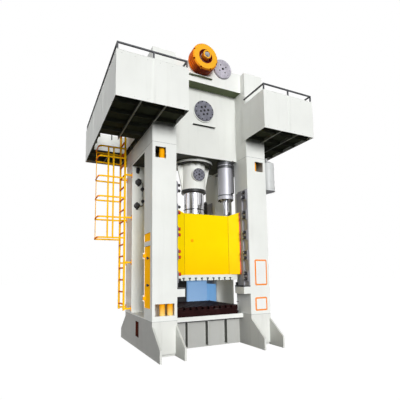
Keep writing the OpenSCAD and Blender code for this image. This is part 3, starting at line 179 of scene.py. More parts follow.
def painted(name, colour, dirt=(0.30, 0.29, 0.25), dirt_amount=0.10, gloss=0.38, shine=0.30,
            side=None, under=None, low=None, inner=None, outer=None, under_high=None, glow=None):
    """Sprayed machine paint: broad unevenness, faint run-down streaks and an orange-peel skin.
    Where side is given, faces turned away from the front and rear take that second coat, and
    where under is given, faces turned down take that darker tone as painted shade. The next four are
    (tone, from, to): low is a tone the paint takes towards the bottom, inner a tone towards the middle of
    the depth, outer the tone of the outermost side walls, and under_high the lighter tone of faces turned
    down high up; inner, outer and under_high are painted shade. Glow is painted light that the coat gives
    out."""
    finish = Finish(name)
    cloud = finish.noise(1.1, 5.0)

    def coat(tone):
        return finish.tones(cloud, tone, 0.95, 1.03, top=0.75)

    body = coat(colour)
    if side is not None:
        front = finish.ramp(finish.part("Normal", "Y"), [(0.55, OFF), (0.85, FULL)])
        body = finish.mix(front, coat(side), body)
    for axis, worn in (("Z", low), ("Y", inner)):
        if worn is not None:
            body = finish.mix(finish.along(axis, worn[1], worn[2]), coat(worn[0]), body)
    if outer is not None:
        wall = finish.mix(finish.along("X", outer[1], outer[2]), body, coat(outer[0]))
        body = finish.mix(finish.part("Normal", "X"), body, wall)
    # Faces turned down take the under tone: painted shade.
    if under is not None:
        below = finish.ramp(finish.part("Normal", "Z", "MULTIPLY"), [(0.50, OFF), (0.90, FULL)])
        shade_below = coat(under)
        if under_high is not None:
            shade_below = finish.mix(finish.along("Z", under_high[1], under_high[2]), shade_below, coat(under_high[0]))
        body = finish.mix(below, body, shade_below)
    streak = finish.noise(2.2, 7.0, 0.62, finish.stretch((3.0, 3.0, 0.28)))
    film = finish.ramp(streak, [(0.52, OFF), (0.78, (dirt_amount,) * 3)])
    finish.set(Base_Color=finish.mix(film, body, dirt))
    finish.set(Roughness=finish.spread(finish.noise(7.0, 3.0), gloss - 0.06, gloss + 0.10))
    finish.set(Specular_IOR_Level=shine)
    # The glow is painted light: the coat is no lamp.
    if glow is not None:
        finish.set(Emission_Color=glow, Emission_Strength=1.0)
    finish.bump(finish.noise(160.0, 2.0), 0.10, 0.002)
    return finish.material


def machined(name, colour, stretch=(1.0, 40.0, 40.0), gloss=0.30, metallic=0.9, shine=0.5):
    """Cut metal: fine tool lines along one way, with clouded oil film."""
    finish = Finish(name)
    lines = finish.noise(6.0, 6.0, 0.6, finish.stretch(stretch))
    film = finish.noise(2.4, 4.0)
    body = finish.tones(lines, colour, 0.80, 1.12, middle=0.60)
    finish.set(Base_Color=finish.mix(finish.spread(film, 0.0, 0.35), body, shade(colour, 0.72)))
    finish.set(Roughness=finish.spread(lines, gloss - 0.07, gloss + 0.14))
    finish.set(Metallic=metallic, Specular_IOR_Level=shine)
    finish.bump(lines, 0.06, 0.002)
    return finish.material


def polished_bar(name):
    """Ground and chromed bar: long dark and bright bands round it, painted reflections, over fine ground
    lines.
    """
    finish = Finish(name)
    reflection_bands = finish.noise(1.0, 3.0, 0.6, finish.stretch((9.0, 9.0, 0.12)))
    lines = finish.noise(6.0, 5.0, 0.6, finish.stretch((60.0, 60.0, 0.6)))
    body = finish.ramp(reflection_bands, [(0.36, (0.10, 0.10, 0.115)), (0.47, (0.38, 0.38, 0.40)),
                               (0.56, (0.86, 0.86, 0.88))])
    finish.set(Base_Color=finish.mix(finish.spread(lines, 0.0, 0.30), body, (0.30, 0.30, 0.32)))
    finish.set(Roughness=finish.spread(lines, 0.14, 0.26))
    finish.set(Metallic=1.0)
    finish.bump(lines, 0.04, 0.001)
    return finish.material


def cast(name, colour, gloss=0.52, metallic=0.55, grain=90.0, shine=0.4):
    """Dark rolled or cast metal: mottled skin, pits and oil-wet patches."""
    finish = Finish(name)
    mottle = finish.noise(9.0, 8.0, 0.65)
    finish.set(Base_Color=finish.tones(mottle, colour, 0.62, 1.45))
    finish.set(Roughness=finish.spread(finish.noise(3.0, 5.0), gloss - 0.16, gloss + 0.14))
    finish.set(Metallic=metallic, Specular_IOR_Level=shine)
    finish.bump(finish.noise(grain, 5.0, 0.7), 0.25, 0.002)
    return finish.material


def worn_iron(name, colour, bare):
    """Oil-dark iron with bare streaks dragged along the feed direction."""
    finish = Finish(name)
    mottle = finish.noise(7.0, 8.0, 0.65)
    body = finish.tones(mottle, colour, 0.55, 1.7)
    drag = finish.noise(3.0, 8.0, 0.7, finish.stretch((0.5, 7.0, 9.0)))
    scuff = finish.ramp(drag, [(0.60, OFF), (0.74, (0.75, 0.75, 0.75))])
    finish.set(Base_Color=finish.mix(scuff, body, bare))
    finish.set(Roughness=finish.spread(drag, 0.66, 0.48))
    finish.set(Specular_IOR_Level=0.03)
    finish.bump(finish.noise(45.0, 5.0, 0.7), 0.25, 0.002)
    return finish.material


def moulded(name, colour, gloss=0.45, grain=140.0):
    """Rubber or plastic with a fine moulded grain."""
    finish = Finish(name)
    patches = finish.noise(12.0, 5.0)
    finish.set(Base_Color=finish.ramp(patches, [(0.3, shade(colour, 0.8)), (0.7, shade(colour, 1.25))]))
    finish.set(Roughness=finish.spread(finish.noise(20.0, 3.0), gloss - 0.05, gloss + 0.12))
    finish.set(Specular_IOR_Level=0.3)
    finish.bump(finish.noise(grain, 2.0), 0.15, 0.001)
    return finish.material


def tinted_sheet(name, colour, side, glow):
    """A milky tinted guard sheet that lets the light behind it through; its lighter side leaf and its faint
    glow are painted light.
    """
    finish = Finish(name)
    cloud = finish.noise(1.6, 5.0)
    faces = [finish.ramp(cloud, [(0.3, shade(tone, 0.90)), (0.7, shade(tone, 1.08))])
             for tone in (colour, side)]
    finish.set(Base_Color=finish.mix(finish.part("Normal", "X"), *faces))
    finish.set(Roughness=finish.spread(finish.noise(5.0, 4.0), 0.45, 0.65))
    finish.set(Transmission_Weight=0.50, IOR=1.2, Specular_IOR_Level=0.1, Emission_Color=glow,
               Emission_Strength=1.0)
    finish.bump(finish.noise(30.0, 3.0), 0.05, 0.002)
    return finish.material


# UNDERSIDE_SHADE is the dark tone painted as shade on white faces turned down.
WHITE, UNDERSIDE_SHADE = (0.835, 0.850, 0.815), (0.040, 0.046, 0.034)
AMBER = ((1.0, 0.43, 0.003), (0.70, 0.24, 0.005), 0.14, 0.55, 0.02)
finishes = {
    "paint_white": painted("grey_white_paint", WHITE, shine=0.07, under=UNDERSIDE_SHADE),
    "paint_yellow": painted("signal_yellow_paint", (1.0, 0.73, 0.001), (0.55, 0.36, 0.01), 0.06, 0.40, 0.02,
                            low=((1.0, 0.60, 0.001), 1.55, 2.30)),
    # Drum faces turned down take a dark red tone: painted shade.
    "paint_orange": painted("drum_paint", (0.92, 0.46, 0.030), (0.36, 0.13, 0.02), 0.14, 0.40, 0.03,
                            (1.0, 0.170, 0.004), (0.16, 0.022, 0.006)),
    "steel_grey": machined("machined_steel", (0.40, 0.41, 0.43), metallic=0.7),
    "polished": polished_bar("polished_plunger_painted_reflection"),
    # The bright alloy's long bands round its parts are partly painted reflection.
    "alloy": machined("bright_machined", (0.47, 0.47, 0.515), (9.0, 9.0, 0.25), 0.42, 0.35),
    "dark_steel": cast("dark_oiled_steel", (0.085, 0.088, 0.095)),
    "motor_paint": painted("motor_paint", (0.22, 0.27, 0.30), (0.05, 0.05, 0.05), 0.25, 0.42),
    "bolster_iron": worn_iron("bolster_iron", (0.020, 0.0065, 0.0065), (0.22, 0.19, 0.18)),
    # The blue sheet's lighter side leaf and its glow are painted light.
    "blue_sheet": tinted_sheet("blue_guard_sheet", (0.20, 0.25, 0.30), (0.42, 0.55, 0.62),
                               (0.080, 0.178, 0.330)),
    "belt_rubber": moulded("belt_rubber", (0.020, 0.020, 0.021), 0.70),
    "black_plastic": moulded("black_plastic", (0.018, 0.018, 0.019), 0.40),
}
safety_amber = painted("safety_amber_paint", *AMBER)
# The service door's glow is painted light: the door is no lamp.
glowing_door_amber = painted("door_amber_painted_glow", *AMBER, glow=(0.25, 0.135, 0.001))
# The tie rods' paler tone towards the bottom is painted light.
tie_rod_amber_painted_light = painted("tie_rod_paint_painted_light", *AMBER, low=((1.0, 0.70, 0.22), 0.80, 1.00))
slot_brown = worn_iron("slot_liner_iron", (0.075, 0.018, 0.011), (0.20, 0.09, 0.07))
rib_grey = painted("gallery_rib_paint", (0.42, 0.43, 0.39), (0.16, 0.15, 0.13), 0.25, 0.60, 0.02)
# The ladder's faces turned sideways take a redder orange: painted shade.
ladder_orange = painted("ladder_orange_paint", (1.0, 0.56, 0.008), (0.90, 0.25, 0.005), 0.30, 0.55, 0.02,
                        (1.0, 0.24, 0.006))
rung_orange = painted("rung_orange_paint", (0.95, 0.20, 0.010), (0.60, 0.08, 0.01), 0.30, 0.50, 0.04)
red_paint = painted("red_bolt_paint", (0.66, 0.045, 0.012), (0.20, 0.02, 0.01), 0.15, 0.36, 0.2)
# Gallery deck faces turned down take a darker tone: painted shade.
deck_paint = painted("gallery_deck_paint", (0.15, 0.16, 0.13), (0.05, 0.05, 0.04), 0.25, 0.70, 0.02,
                     under=(0.058, 0.066, 0.042))
tank_paint = painted("tank_grey_paint", (0.62, 0.635, 0.63), (0.30, 0.30, 0.29), 0.15, 0.36)
pale_plate = machined("pale_clamp_plate", (0.80, 0.83, 0.78), (1.0, 30.0, 30.0), 0.46, 0.10, 0.3)
cover_grey = cast("cover_grey", (0.170, 0.172, 0.210), 0.52, 0.15, 60.0)
disc_grey = cast("disc_grey", (0.450, 0.430, 0.490), 0.50, 0.15, 60.0)
gib_steel = machined("gib_steel", (0.33, 0.33, 0.36), (30.0, 30.0, 1.0), 0.60, 0.0, 0.10)
gib_bolt_finish = cast("gib_bolt_steel", (0.032, 0.031, 0.035), 0.46, 0.20, 90.0, 0.2)
hub_paint = painted("brake_hub_paint", (0.24, 0.26, 0.31), (0.05, 0.05, 0.06), 0.30, 0.38, 0.3,
                    (0.80, 0.22, 0.012))
# The crown's recessed web front is painted darker, and its undersides take dark tones that are lighter high
# up: all painted shade.
crown_paint = painted("crown_paint", WHITE, shine=0.07, under=UNDERSIDE_SHADE,
                      inner=((0.745, 0.757, 0.722), 0.70, 0.85),
                      under_high=((0.135, 0.165, 0.085), 5.90, 6.10))
# The bed's paint is a darker white with real dirt streaks; its side, outer, inner and under tones are painted
# shade.
bed_paint = painted("bed_dirt_and_painted_shade", (0.75, 0.76, 0.72), (0.30, 0.28, 0.24), 0.25, shine=0.06,
                    side=(0.65, 0.66, 0.62), under=(0.17, 0.17, 0.145),
                    inner=((0.49, 0.495, 0.470), 0.72, 1.05), outer=((0.47, 0.470, 0.445), 1.40, 1.44))
# Painted shade for the bed ribs' flanks.
flank_shade = painted("rib_flank_painted_shade", (0.15, 0.155, 0.140), (0.06, 0.06, 0.05), 0.25, 0.60, 0.03)
# Painted shade for the slide's bends.
fold_shade_amber = painted("fold_line_painted_shade", (0.42, 0.20, 0.004), (0.20, 0.09, 0.01), 0.2, 0.5, 0.05)
black_oxide = cast("black_oxide", (0.020, 0.019, 0.021), 0.48, 0.30, 120.0, 0.3)
joint_grey = moulded("joint_sealant", (0.36, 0.37, 0.37), 0.60, 80.0)
fin_red = painted("brake_fin_paint", (0.30, 0.030, 0.018), (0.05, 0.02, 0.01), 0.35, 0.45, 0.1)
band_red = painted("drum_band_paint", (0.34, 0.035, 0.005), (0.10, 0.02, 0.01), 0.30, 0.45, 0.03)
plate_orange = painted("plate_frame_orange", (0.92, 0.27, 0.012), (0.45, 0.12, 0.02), 0.12, 0.36, 0.2)
plate_white = painted("plate_face_enamel", (0.86, 0.86, 0.84), (0.55, 0.54, 0.50), 0.12, 0.30)

own_finish = {
    "tie_rods": tie_rod_amber_painted_light,
    "service_door": glowing_door_amber,
    "service_cover": glowing_door_amber,
    "ladder": ladder_orange,
    "ladder_cage": ladder_orange,
    "left_floor": deck_paint,
    "right_floor": deck_paint,
    "clamp_plate": pale_plate,
    "crank_covers": cover_grey,
    "guide_cover": cover_grey,
    "shaft_covers": disc_grey,
    "air_tank": tank_paint,
    "door_hinges": finishes["paint_white"],
    "bed": bed_paint,
    "crown": crown_paint,
    "brake_hub": hub_paint,
    "gib_bolts": gib_bolt_finish,
    # The rear guard frame's black is partly its own finish; on its left leaf it is painted shade for the dark
    # space behind.
    "rear_guard_frame": black_oxide,
    "guide_bolts": black_oxide,
    "seal_ring": finishes["black_plastic"],
    **{f"gib_{end}_{side}": gib_steel for end in ("front", "rear") for side in ("left", "right")},
}


def dress_cad_nodes():
    slots = {part["node"]: part["material_slot"] for part in frame["record"]["subparts"]}
    for name, cad_node in frame["nodes"].items():
        cad_node.data.materials.clear()
        cad_node.data.materials.append(own_finish.get(name, finishes[slots[name]]))


dress_cad_nodes()


# Piece making: closed meshes in place, each tied to the body that carries it

PI2 = 2.0 * math.pi
FRONT, REAR, UP, DOWN = (0.0, -1.0, 0.0), (0.0, 1.0, 0.0), (0.0, 0.0, 1.0), (0.0, 0.0, -1.0)
LEFT, RIGHT = (-1.0, 0.0, 0.0), (1.0, 0.0, 0.0)
SIDES = (-1, 1)
SOLID_CREASE, GROWN_CREASE = 35.0, 40.0


def look(finish, slot):
    """The material and slot of a finish, given as a material or by the name of the slot it belongs to."""
    return (finishes[finish], finish) if isinstance(finish, str) else (finish, slot)


def settle(piece, body, crease_deg):
    """Smooths a piece up to its creases and ties it to the body that carries it."""
    mesh = piece.data
    mesh.polygons.foreach_set("use_smooth", [True] * len(mesh.polygons))
    mesh.set_sharp_from_angle(angle=math.radians(crease_deg))
    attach(piece, body)


def finish_piece(name, bm, finish, body="frame", slot=None):
    material, slot = look(finish, slot)
    bmesh.ops.recalc_face_normals(bm, faces=bm.faces)
    mesh = bpy.data.meshes.new(name)
    bm.to_mesh(mesh)
    bm.free()
    mesh.materials.append(material)
    piece = bpy.data.objects.new(name, mesh)
    scene.collection.objects.link(piece)
    settle(piece, body, SOLID_CREASE)


def block(bm, x, y, z, edge=0.0):
    """A box from its runs along X, Y and Z, its edges rounded over where edge is above zero."""
    verts = bmesh.ops.create_cube(bm, size=1.0)["verts"]
    for v in verts:
        v.co = Vector([(lo + hi) / 2 + c * (hi - lo) for c, (lo, hi) in zip(v.co, (x, y, z))])
    if edge > 0.0:
        edges = list({e for v in verts for e in v.link_edges})
        bmesh.ops.bevel(bm, geom=edges, offset=edge, segments=2, profile=0.5, affect="EDGES")


def turned(bm, profile, base, facing, steps=32):
    """A revolved solid: profile runs (radius, height) from axis to axis along the facing direction."""
    turn = Vector(facing).to_track_quat("Z", "Y").to_matrix()
    base = Vector(base)
    rings = []
    for radius, height in profile:
        if radius == 0.0:
            rings.append([bm.verts.new(base + turn @ Vector((0.0, 0.0, height)))])
            continue
        rings.append([bm.verts.new(base + turn @ Vector((radius * math.cos(PI2 * k / steps),
                                                        radius * math.sin(PI2 * k / steps), height)))
                      for k in range(steps)])
    for low, high in zip(rings, rings[1:]):
        for k in range(steps):
            n = (k + 1) % steps
            corners = [low[0]] if len(low) == 1 else [low[k], low[n]]
            corners += [high[0]] if len(high) == 1 else [high[n], high[k]]
            bm.faces.new(corners)


def plug(radius, tip, shoulder, height):
    """The profile of a short round plug with a chamfered end."""
    return [(0.0, 0.0), (radius, 0.0), (radius, shoulder), (tip, height), (0.0, height)]


def crowned_ring(bm, seat, edge, crest, height, base, steps):
    """A ring round an upright seat, crowned between its edges."""
    turned(bm, [(seat, 0.0), (edge, 0.0), (crest, 0.3 * height), (crest, 0.7 * height), (edge, height),
                (seat, height), (seat, 0.0)], base, UP, steps)


def spokes(count):
    """Unit vectors out from an axis along Y and across it, once for each place of an even ring."""
    for k in range(count):
        a = PI2 * k / count
        yield Vector((math.cos(a), 0.0, math.sin(a))), Vector((-math.sin(a), 0.0, math.cos(a)))


def wire_ring(bm, centre, radius, wire, around=20, sides=8):
    """A closed ring of round wire, standing in the X-Z plane."""
    loops = []
    for out, _ in spokes(around):
        middle, loop = Vector(centre) + out * radius, []
        for j in range(sides):
            a = PI2 * j / sides
            lift = Vector((0.0, wire * math.sin(a), 0.0))
            loop.append(bm.verts.new(middle + out * wire * math.cos(a) + lift))
        loops.append(loop)
    for low, high in zip(loops, loops[1:] + loops[:1]):
        for j in range(sides):
            n = (j + 1) % sides
            bm.faces.new([low[j], low[n], high[n], high[j]])


def prism(bm, outline, push):
    """A closed outline of points carried along the push vector."""
    low = [bm.verts.new(Vector(p)) for p in outline]
    high = [bm.verts.new(Vector(p) + Vector(push)) for p in outline]
    bm.faces.new(low)
    bm.faces.new(list(reversed(high)))
    for k in range(len(outline)):
        n = (k + 1) % len(outline)
        bm.faces.new([low[k], low[n], high[n], high[k]])


def ring_points(centre, radius, count, axis, start=0.0):
    """Points on a circle round an axis: "y" lies in the X-Z plane, "z" in the X-Y plane."""
    points = []
    for k in range(count):
        a = start + PI2 * k / count
        across, along = radius * math.cos(a), radius * math.sin(a)
        step = (across, 0.0, along) if axis == "y" else (across, along, 0.0)
        points.append(tuple(centre[i] + step[i] for i in range(3)))
    return points


# Rows of bolts and rivets, and beads that follow a path, are grown by node trees

WASHER_SIDES, HEAD_STRAIGHT, HEAD_TOP = 16, 0.75, 0.8
BEND_STEPS, BEAD_SIDES = 6, 8


def add_sizes(tree, lengths, counts=()):
    """Gives a tree its geometry sockets, its sizes and a finish; returns its inputs and its result."""
    tree.interface.new_socket(name="Geometry", in_out="INPUT", socket_type="NodeSocketGeometry")
    tree.interface.new_socket(name="Geometry", in_out="OUTPUT", socket_type="NodeSocketGeometry")
    kinds = [(name, "NodeSocketFloat") for name in lengths] + [(name, "NodeSocketInt") for name in counts]
    for name, kind in kinds + [("Finish", "NodeSocketMaterial")]:
        tree.interface.new_socket(name=name, in_out="INPUT", socket_type=kind)
    return tree.nodes.new("NodeGroupInput").outputs, tree.nodes.new("NodeGroupOutput").inputs


def lifted(tree, mesh, height):
    place = node(tree, "ShaderNodeCombineXYZ", {"Z": height}).outputs[0]
    return node(tree, "GeometryNodeTransform", {"Geometry": mesh, "Translation": place}).outputs[0]


def close_tree(tree, geometry, finish, result):
    real = node(tree, "GeometryNodeRealizeInstances", {0: geometry})
    paint = node(tree, "GeometryNodeSetMaterial", {"Geometry": real.outputs[0], "Material": finish})
    tree.links.new(paint.outputs[0], result[0])


def bolt_row_tree():
    """A chamfered head on a round washer at every point, standing along the point's own facing."""
    tree = bpy.data.node_groups.new("bolt_row", "GeometryNodeTree")
    given, result = add_sizes(tree, ("Head Radius", "Head Height", "Washer Radius", "Washer Height"),
                              ("Corners",))
    radius, height, base = given["Head Radius"], given["Head Height"], given["Washer Height"]
    straight = calc(tree, "MULTIPLY", height, HEAD_STRAIGHT)
    washer = node(tree, "GeometryNodeMeshCylinder", {
        "Vertices": WASHER_SIDES, "Radius": given["Washer Radius"], "Depth": base})
    shank = node(tree, "GeometryNodeMeshCylinder", {
        "Vertices": given["Corners"], "Radius": radius, "Depth": straight})
    chamfer = node(tree, "GeometryNodeMeshCone", {
        "Vertices": given["Corners"], "Radius Bottom": radius,
        "Radius Top": calc(tree, "MULTIPLY", radius, HEAD_TOP),
        "Depth": calc(tree, "MULTIPLY", height, 1.0 - HEAD_STRAIGHT)})
    half_washer = calc(tree, "MULTIPLY", base, 0.5)
    middle = calc(tree, "ADD", base, calc(tree, "MULTIPLY", straight, 0.5))
    top = calc(tree, "ADD", base, straight)
    join = node(tree, "GeometryNodeJoinGeometry")
    for shape, lift in ((washer, half_washer), (shank, middle), (chamfer, top)):
        tree.links.new(lifted(tree, shape.outputs["Mesh"], lift), join.inputs[0])
    facing = node(tree, "GeometryNodeInputNamedAttribute", {"Name": "facing"}, data_type="FLOAT_VECTOR")
    aim = node(tree, "FunctionNodeAlignRotationToVector", {"Vector": facing.outputs["Attribute"]}, axis="Z")
    spread = node(tree, "GeometryNodeInstanceOnPoints", {
        "Points": given["Geometry"], "Instance": join.outputs[0], "Rotation": aim.outputs["Rotation"]})
    close_tree(tree, spread.outputs[0], given["Finish"], result)
    return tree


def bead_run_tree():
    """A round bead along every polyline, rippled along its length where Ripple is above zero."""
    tree = bpy.data.node_groups.new("bead_run", "GeometryNodeTree")
    given, result = add_sizes(tree, ("Radius", "Ripple", "Pitch", "Corner", "Step"))
    path = node(tree, "GeometryNodeMeshToCurve", {"Mesh": given["Geometry"]})
    bend = node(tree, "GeometryNodeFilletCurve", {
        "Curve": path.outputs[0], "Radius": given["Corner"], "Count": BEND_STEPS, "Limit Radius": True},
        mode="POLY")
    even = node(tree, "GeometryNodeResampleCurve", {"Curve": bend.outputs[0], "Length": given["Step"]},
                mode="LENGTH")
    along = node(tree, "GeometryNodeSplineParameter").outputs["Length"]
    phase = calc(tree, "MULTIPLY", calc(tree, "DIVIDE", along, given["Pitch"]), PI2)
    wave = calc(tree, "MULTIPLY", calc(tree, "SINE", phase, 0.0), given["Ripple"])
    profile = node(tree, "GeometryNodeCurvePrimitiveCircle", {
        "Resolution": BEAD_SIDES, "Radius": given["Radius"]})
    sweep = node(tree, "GeometryNodeCurveToMesh", {
        "Curve": even.outputs[0], "Profile Curve": profile.outputs["Curve"],
        "Scale": calc(tree, "ADD", wave, 1.0), "Fill Caps": True})
    close_tree(tree, sweep.outputs[0], given["Finish"], result)
    return tree


def grow(name, tree, mesh, sizes, finish, body, slot):
    """Runs a tree on a seed mesh and keeps the result as a plain mesh on its body."""
    material, slot = look(finish, slot)
    piece = bpy.data.objects.new(name, mesh)
    scene.collection.objects.link(piece)
    rows = piece.modifiers.new("rows", "NODES")
    rows.node_group = tree
    for item in tree.interface.items_tree:
        if item.in_out == "INPUT" and item.name in sizes:
            rows[item.identifier] = sizes[item.name]
        elif item.in_out == "INPUT" and item.name == "Finish":
            rows[item.identifier] = material
    made = bpy.data.meshes.new_from_object(piece.evaluated_get(bpy.context.evaluated_depsgraph_get()))
    piece.modifiers.clear()
    piece.data = made
    made.name = name
    settle(piece, body, GROWN_CREASE)


bolt_tree = bolt_row_tree()
bead_tree = bead_run_tree()


def bolts(name, places, head, washer, finish, body="frame", slot="dark_steel", corners=6):
    """places holds (point, facing) pairs; head and washer are (radius, height)."""
    mesh = bpy.data.meshes.new(name + "_seats")
    mesh.from_pydata([p for p, _ in places], [], [])
    facing = mesh.attributes.new("facing", "FLOAT_VECTOR", "POINT")
    facing.data.foreach_set("vector", [c for _, f in places for c in f])
    sizes = {"Head Radius": head[0], "Head Height": head[1], "Washer Radius": washer[0],
             "Washer Height": washer[1], "Corners": corners}
    grow(name, bolt_tree, mesh, sizes, finish, body, slot)


def beads(name, paths, radius, finish, step, ripple=0.0, pitch=0.02, corner=0.0, body="frame", slot=None):
    """Round beads along paths of points; with no corner radius, each leg is a bead of its own."""
    points, edges = [], []
    if corner == 0.0:
        paths = [leg for path in paths for leg in zip(path, path[1:])]
    for path in paths:
        first = len(points)
        points += path
        edges += [(first + k, first + k + 1) for k in range(len(path) - 1)]
    mesh = bpy.data.meshes.new(name + "_path")
    mesh.from_pydata(points, edges, [])
    sizes = {"Radius": radius, "Ripple": ripple, "Pitch": pitch, "Corner": corner, "Step": step}
    grow(name, bead_tree, mesh, sizes, finish, body, slot)


# Places on the CAD frame that the fittings follow; mirrored ones are given for one side

POST_INNER, POST_OUTER, POST_FACE = 0.910, 1.450, 1.080
FOOT_PLATES, FOOT_TOP, FOOT_WELD_TOP = (0.950, 1.410), 0.050, 0.598
BED_RIBS, RIB_HALF, RIB_FRONT, BED_WALL = (-0.5, 0.0, 0.5), 0.015, 0.705, 0.570
TABLE_FRONT, TABLE_LOW, TABLE_TOP, BOLSTER_TOP = 0.740, 0.605, 0.700, 0.907
CROWN_LOW, BEAM_LOW, CROWN_TOP = 4.430, 6.130, 6.580
WEB_FACE, BEAM_FACE = 0.623, 0.9002
# axes that run along Y, as (X, Z)
CRANK, SHAFT, BRAKE, MOTOR = (0.0, 5.585), (0.390, 6.620), (-0.210, 6.620), (1.180, 6.850)
GUIDE_COVER = (0.0, 4.080)
CRANK_COVER_FACE, SHAFT_COVER_FACE, GUIDE_COVER_FACE = 0.688, 0.945, 0.350


def on_axis(axis, y):
    """A point on an axis that runs along Y, the axis given by its (X, Z)."""
    return (axis[0], y, axis[1])


def facing_ring(axis, y, radius, count, start=0.0):
    """Seats on a circle of a front or rear face, each with the way it faces."""
    facing = FRONT if y < 0 else REAR
    return [(p, facing) for p in ring_points(on_axis(axis, y), radius, count, "y", start)]


def mirrored(side, near, far):
    """A run from near to far on the +1 side, carried to the given side."""
    return sorted((side * near, side * far))


def line_up(x, y, low, high):
    return [(x, y, low), (x, y, high)]


# Crown front and rear: covers, brake, drive and motor

PLUG_CIRCLE, CRANK_RIM_CIRCLE, GUIDE_PLUG_CIRCLE, GUIDE_RIM_CIRCLE = 0.105, 0.225, 0.085, 0.135


def dress_covers():
    plugs, rims, small = [], [], []
    for side in SIDES:
        crank_face, shaft_face = side * CRANK_COVER_FACE, side * SHAFT_COVER_FACE
        plugs += facing_ring(CRANK, crank_face, 0.0, 1) + facing_ring(CRANK, crank_face, PLUG_CIRCLE, 6, 0.3)
        rims += facing_ring(CRANK, crank_face, CRANK_RIM_CIRCLE, 12, 0.26)
        plugs += facing_ring(SHAFT, shaft_face, 0.0, 1)
        small += facing_ring(SHAFT, shaft_face, PLUG_CIRCLE, 4, 0.6)
    plugs += facing_ring(GUIDE_COVER, -GUIDE_COVER_FACE, 0.0, 1)
    small += facing_ring(GUIDE_COVER, -GUIDE_COVER_FACE, GUIDE_PLUG_CIRCLE, 6, 0.5)
    guide_rim = facing_ring(GUIDE_COVER, -GUIDE_COVER_FACE, GUIDE_RIM_CIRCLE, 10)
    bolts("cover_plugs", plugs, (0.024, 0.010), (0.030, 0.004), black_oxide, corners=16)
    bolts("crank_rim_screws", rims, (0.013, 0.012), (0.018, 0.003), black_oxide)
    bolts("small_cover_screws", small, (0.012, 0.010), (0.016, 0.003), black_oxide)
    bolts("guide_cover_screws", guide_rim, (0.011, 0.010), (0.015, 0.003), black_oxide)


FIN_COUNT, FIN_HALF, FIN_INNER, FIN_OUTER = 24, 0.004, 0.119, 0.1705
FIN_RING_Y, FIN_TIP_Y, FIN_SHOULDER_Y, FIN_ROOT_Y = -1.190, -1.188, -1.165, -1.052
DRUM_FACE_Y, DRUM_BOLT_CIRCLE = -1.140, 0.302
DRUM_BANDS_Y, BAND_SEAT = (-1.150, -1.085, -1.020), 0.3185
HUB_NUT_Y, HUB_RING_Y = -1.262, -1.274


def dress_brake():
    bm = bmesh.new()
    centre = Vector(on_axis(BRAKE, 0.0))
    for out, across in spokes(FIN_COUNT):
        inner, outer, half = centre + out * FIN_INNER, centre + out * FIN_OUTER, across * FIN_HALF
        corners = ((inner, FIN_SHOULDER_Y), (outer, FIN_TIP_Y), (outer, FIN_ROOT_Y), (inner, FIN_ROOT_Y))
        prism(bm, [p + Vector((0.0, y, 0.0)) - half for p, y in corners], half * 2)
    turned(bm, [(0.158, 0.0), (FIN_OUTER, 0.0), (FIN_OUTER, 0.012), (0.162, 0.016), (0.158, 0.012),
                (0.158, 0.0)], on_axis(BRAKE, FIN_RING_Y), FRONT, 48)
    finish_piece("brake_fins", bm, fin_red, "frame", "paint_orange")
    # Dark red bolts fill the drum's rim notches; their dark is partly the bolts' own colour and partly
    # painted shade for the notches.
    places = facing_ring(BRAKE, DRUM_FACE_Y, DRUM_BOLT_CIRCLE, 8, 0.5)
    bolts("drum_face_bolts", places, (0.014, 0.040), (0.017, 0.004), fin_red, slot="paint_orange")
    bm = bmesh.new()
    edge, crest = BAND_SEAT + 0.0035, BAND_SEAT + 0.0045
    for y in DRUM_BANDS_Y:
        turned(bm, [(BAND_SEAT, 0.0), (edge, 0.0), (crest, 0.004), (crest, 0.010), (edge, 0.014),
                    (BAND_SEAT, 0.014), (BAND_SEAT, 0.0)], on_axis(BRAKE, y), FRONT, 64)
    finish_piece("drum_bands", bm, band_red, "frame", "paint_orange")
    bm = bmesh.new()
    base = on_axis(BRAKE, HUB_NUT_Y)
    turned(bm, [(0.0, 0.0), (0.066, 0.0), (0.066, 0.008), (0.0, 0.008)], base, FRONT, 32)
    turned(bm, [(0.0, 0.006), (0.052, 0.006), (0.052, 0.030), (0.046, 0.036), (0.0, 0.036)], base, FRONT, 6)
    turned(bm, [(0.0, 0.030), (0.026, 0.030), (0.026, 0.046), (0.021, 0.050), (0.0, 0.050)], base, FRONT, 24)
    finish_piece("hub_nut", bm, "steel_grey", "drive")
    bm = bmesh.new()
    turned(bm, [(0.068, 0.0), (0.1005, 0.0), (0.1005, 0.006), (0.095, 0.010), (0.072, 0.010), (0.068, 0.006),
                (0.068, 0.0)], on_axis(BRAKE, HUB_RING_Y), FRONT, 40)
    finish_piece("hub_end_ring", bm, "paint_orange", "drive")


CAP_TOP, CAP_BOLT_X, CAP_BOLT_Y = 6.670, 0.245, (0.69, 0.83)
FLYWHEEL_BOLT_CIRCLE = 0.150
EYES_Y, EYE_FOOT, EYE_CENTRE, EYE_RADIUS, EYE_WIRE = (0.02, 0.40), 7.146, 7.182, 0.034, 0.010


def dress_drive():
    places = [((axis[0] + sx * CAP_BOLT_X, sy * y, CAP_TOP), UP)
              for axis in (BRAKE, SHAFT) for sx in SIDES for y in CAP_BOLT_Y for sy in SIDES]
    bolts("bearing_cap_bolts", places, (0.030, 0.030), (0.040, 0.006), "dark_steel")
    places = facing_ring(BRAKE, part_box("flywheel")[1][1], FLYWHEEL_BOLT_CIRCLE, 8)
    bolts("flywheel_hub_bolts", places, (0.024, 0.022), (0.032, 0.005), "dark_steel", "flywheel")
    bm = bmesh.new()
    for y in EYES_Y:
        wire_ring(bm, (SHAFT[0], y, EYE_CENTRE), EYE_RADIUS, EYE_WIRE)
        turned(bm, plug(0.026, 0.012, 0.006, 0.014), (SHAFT[0], y, EYE_FOOT), UP, 16)
    finish_piece("gear_cover_eyes", bm, "dark_steel")


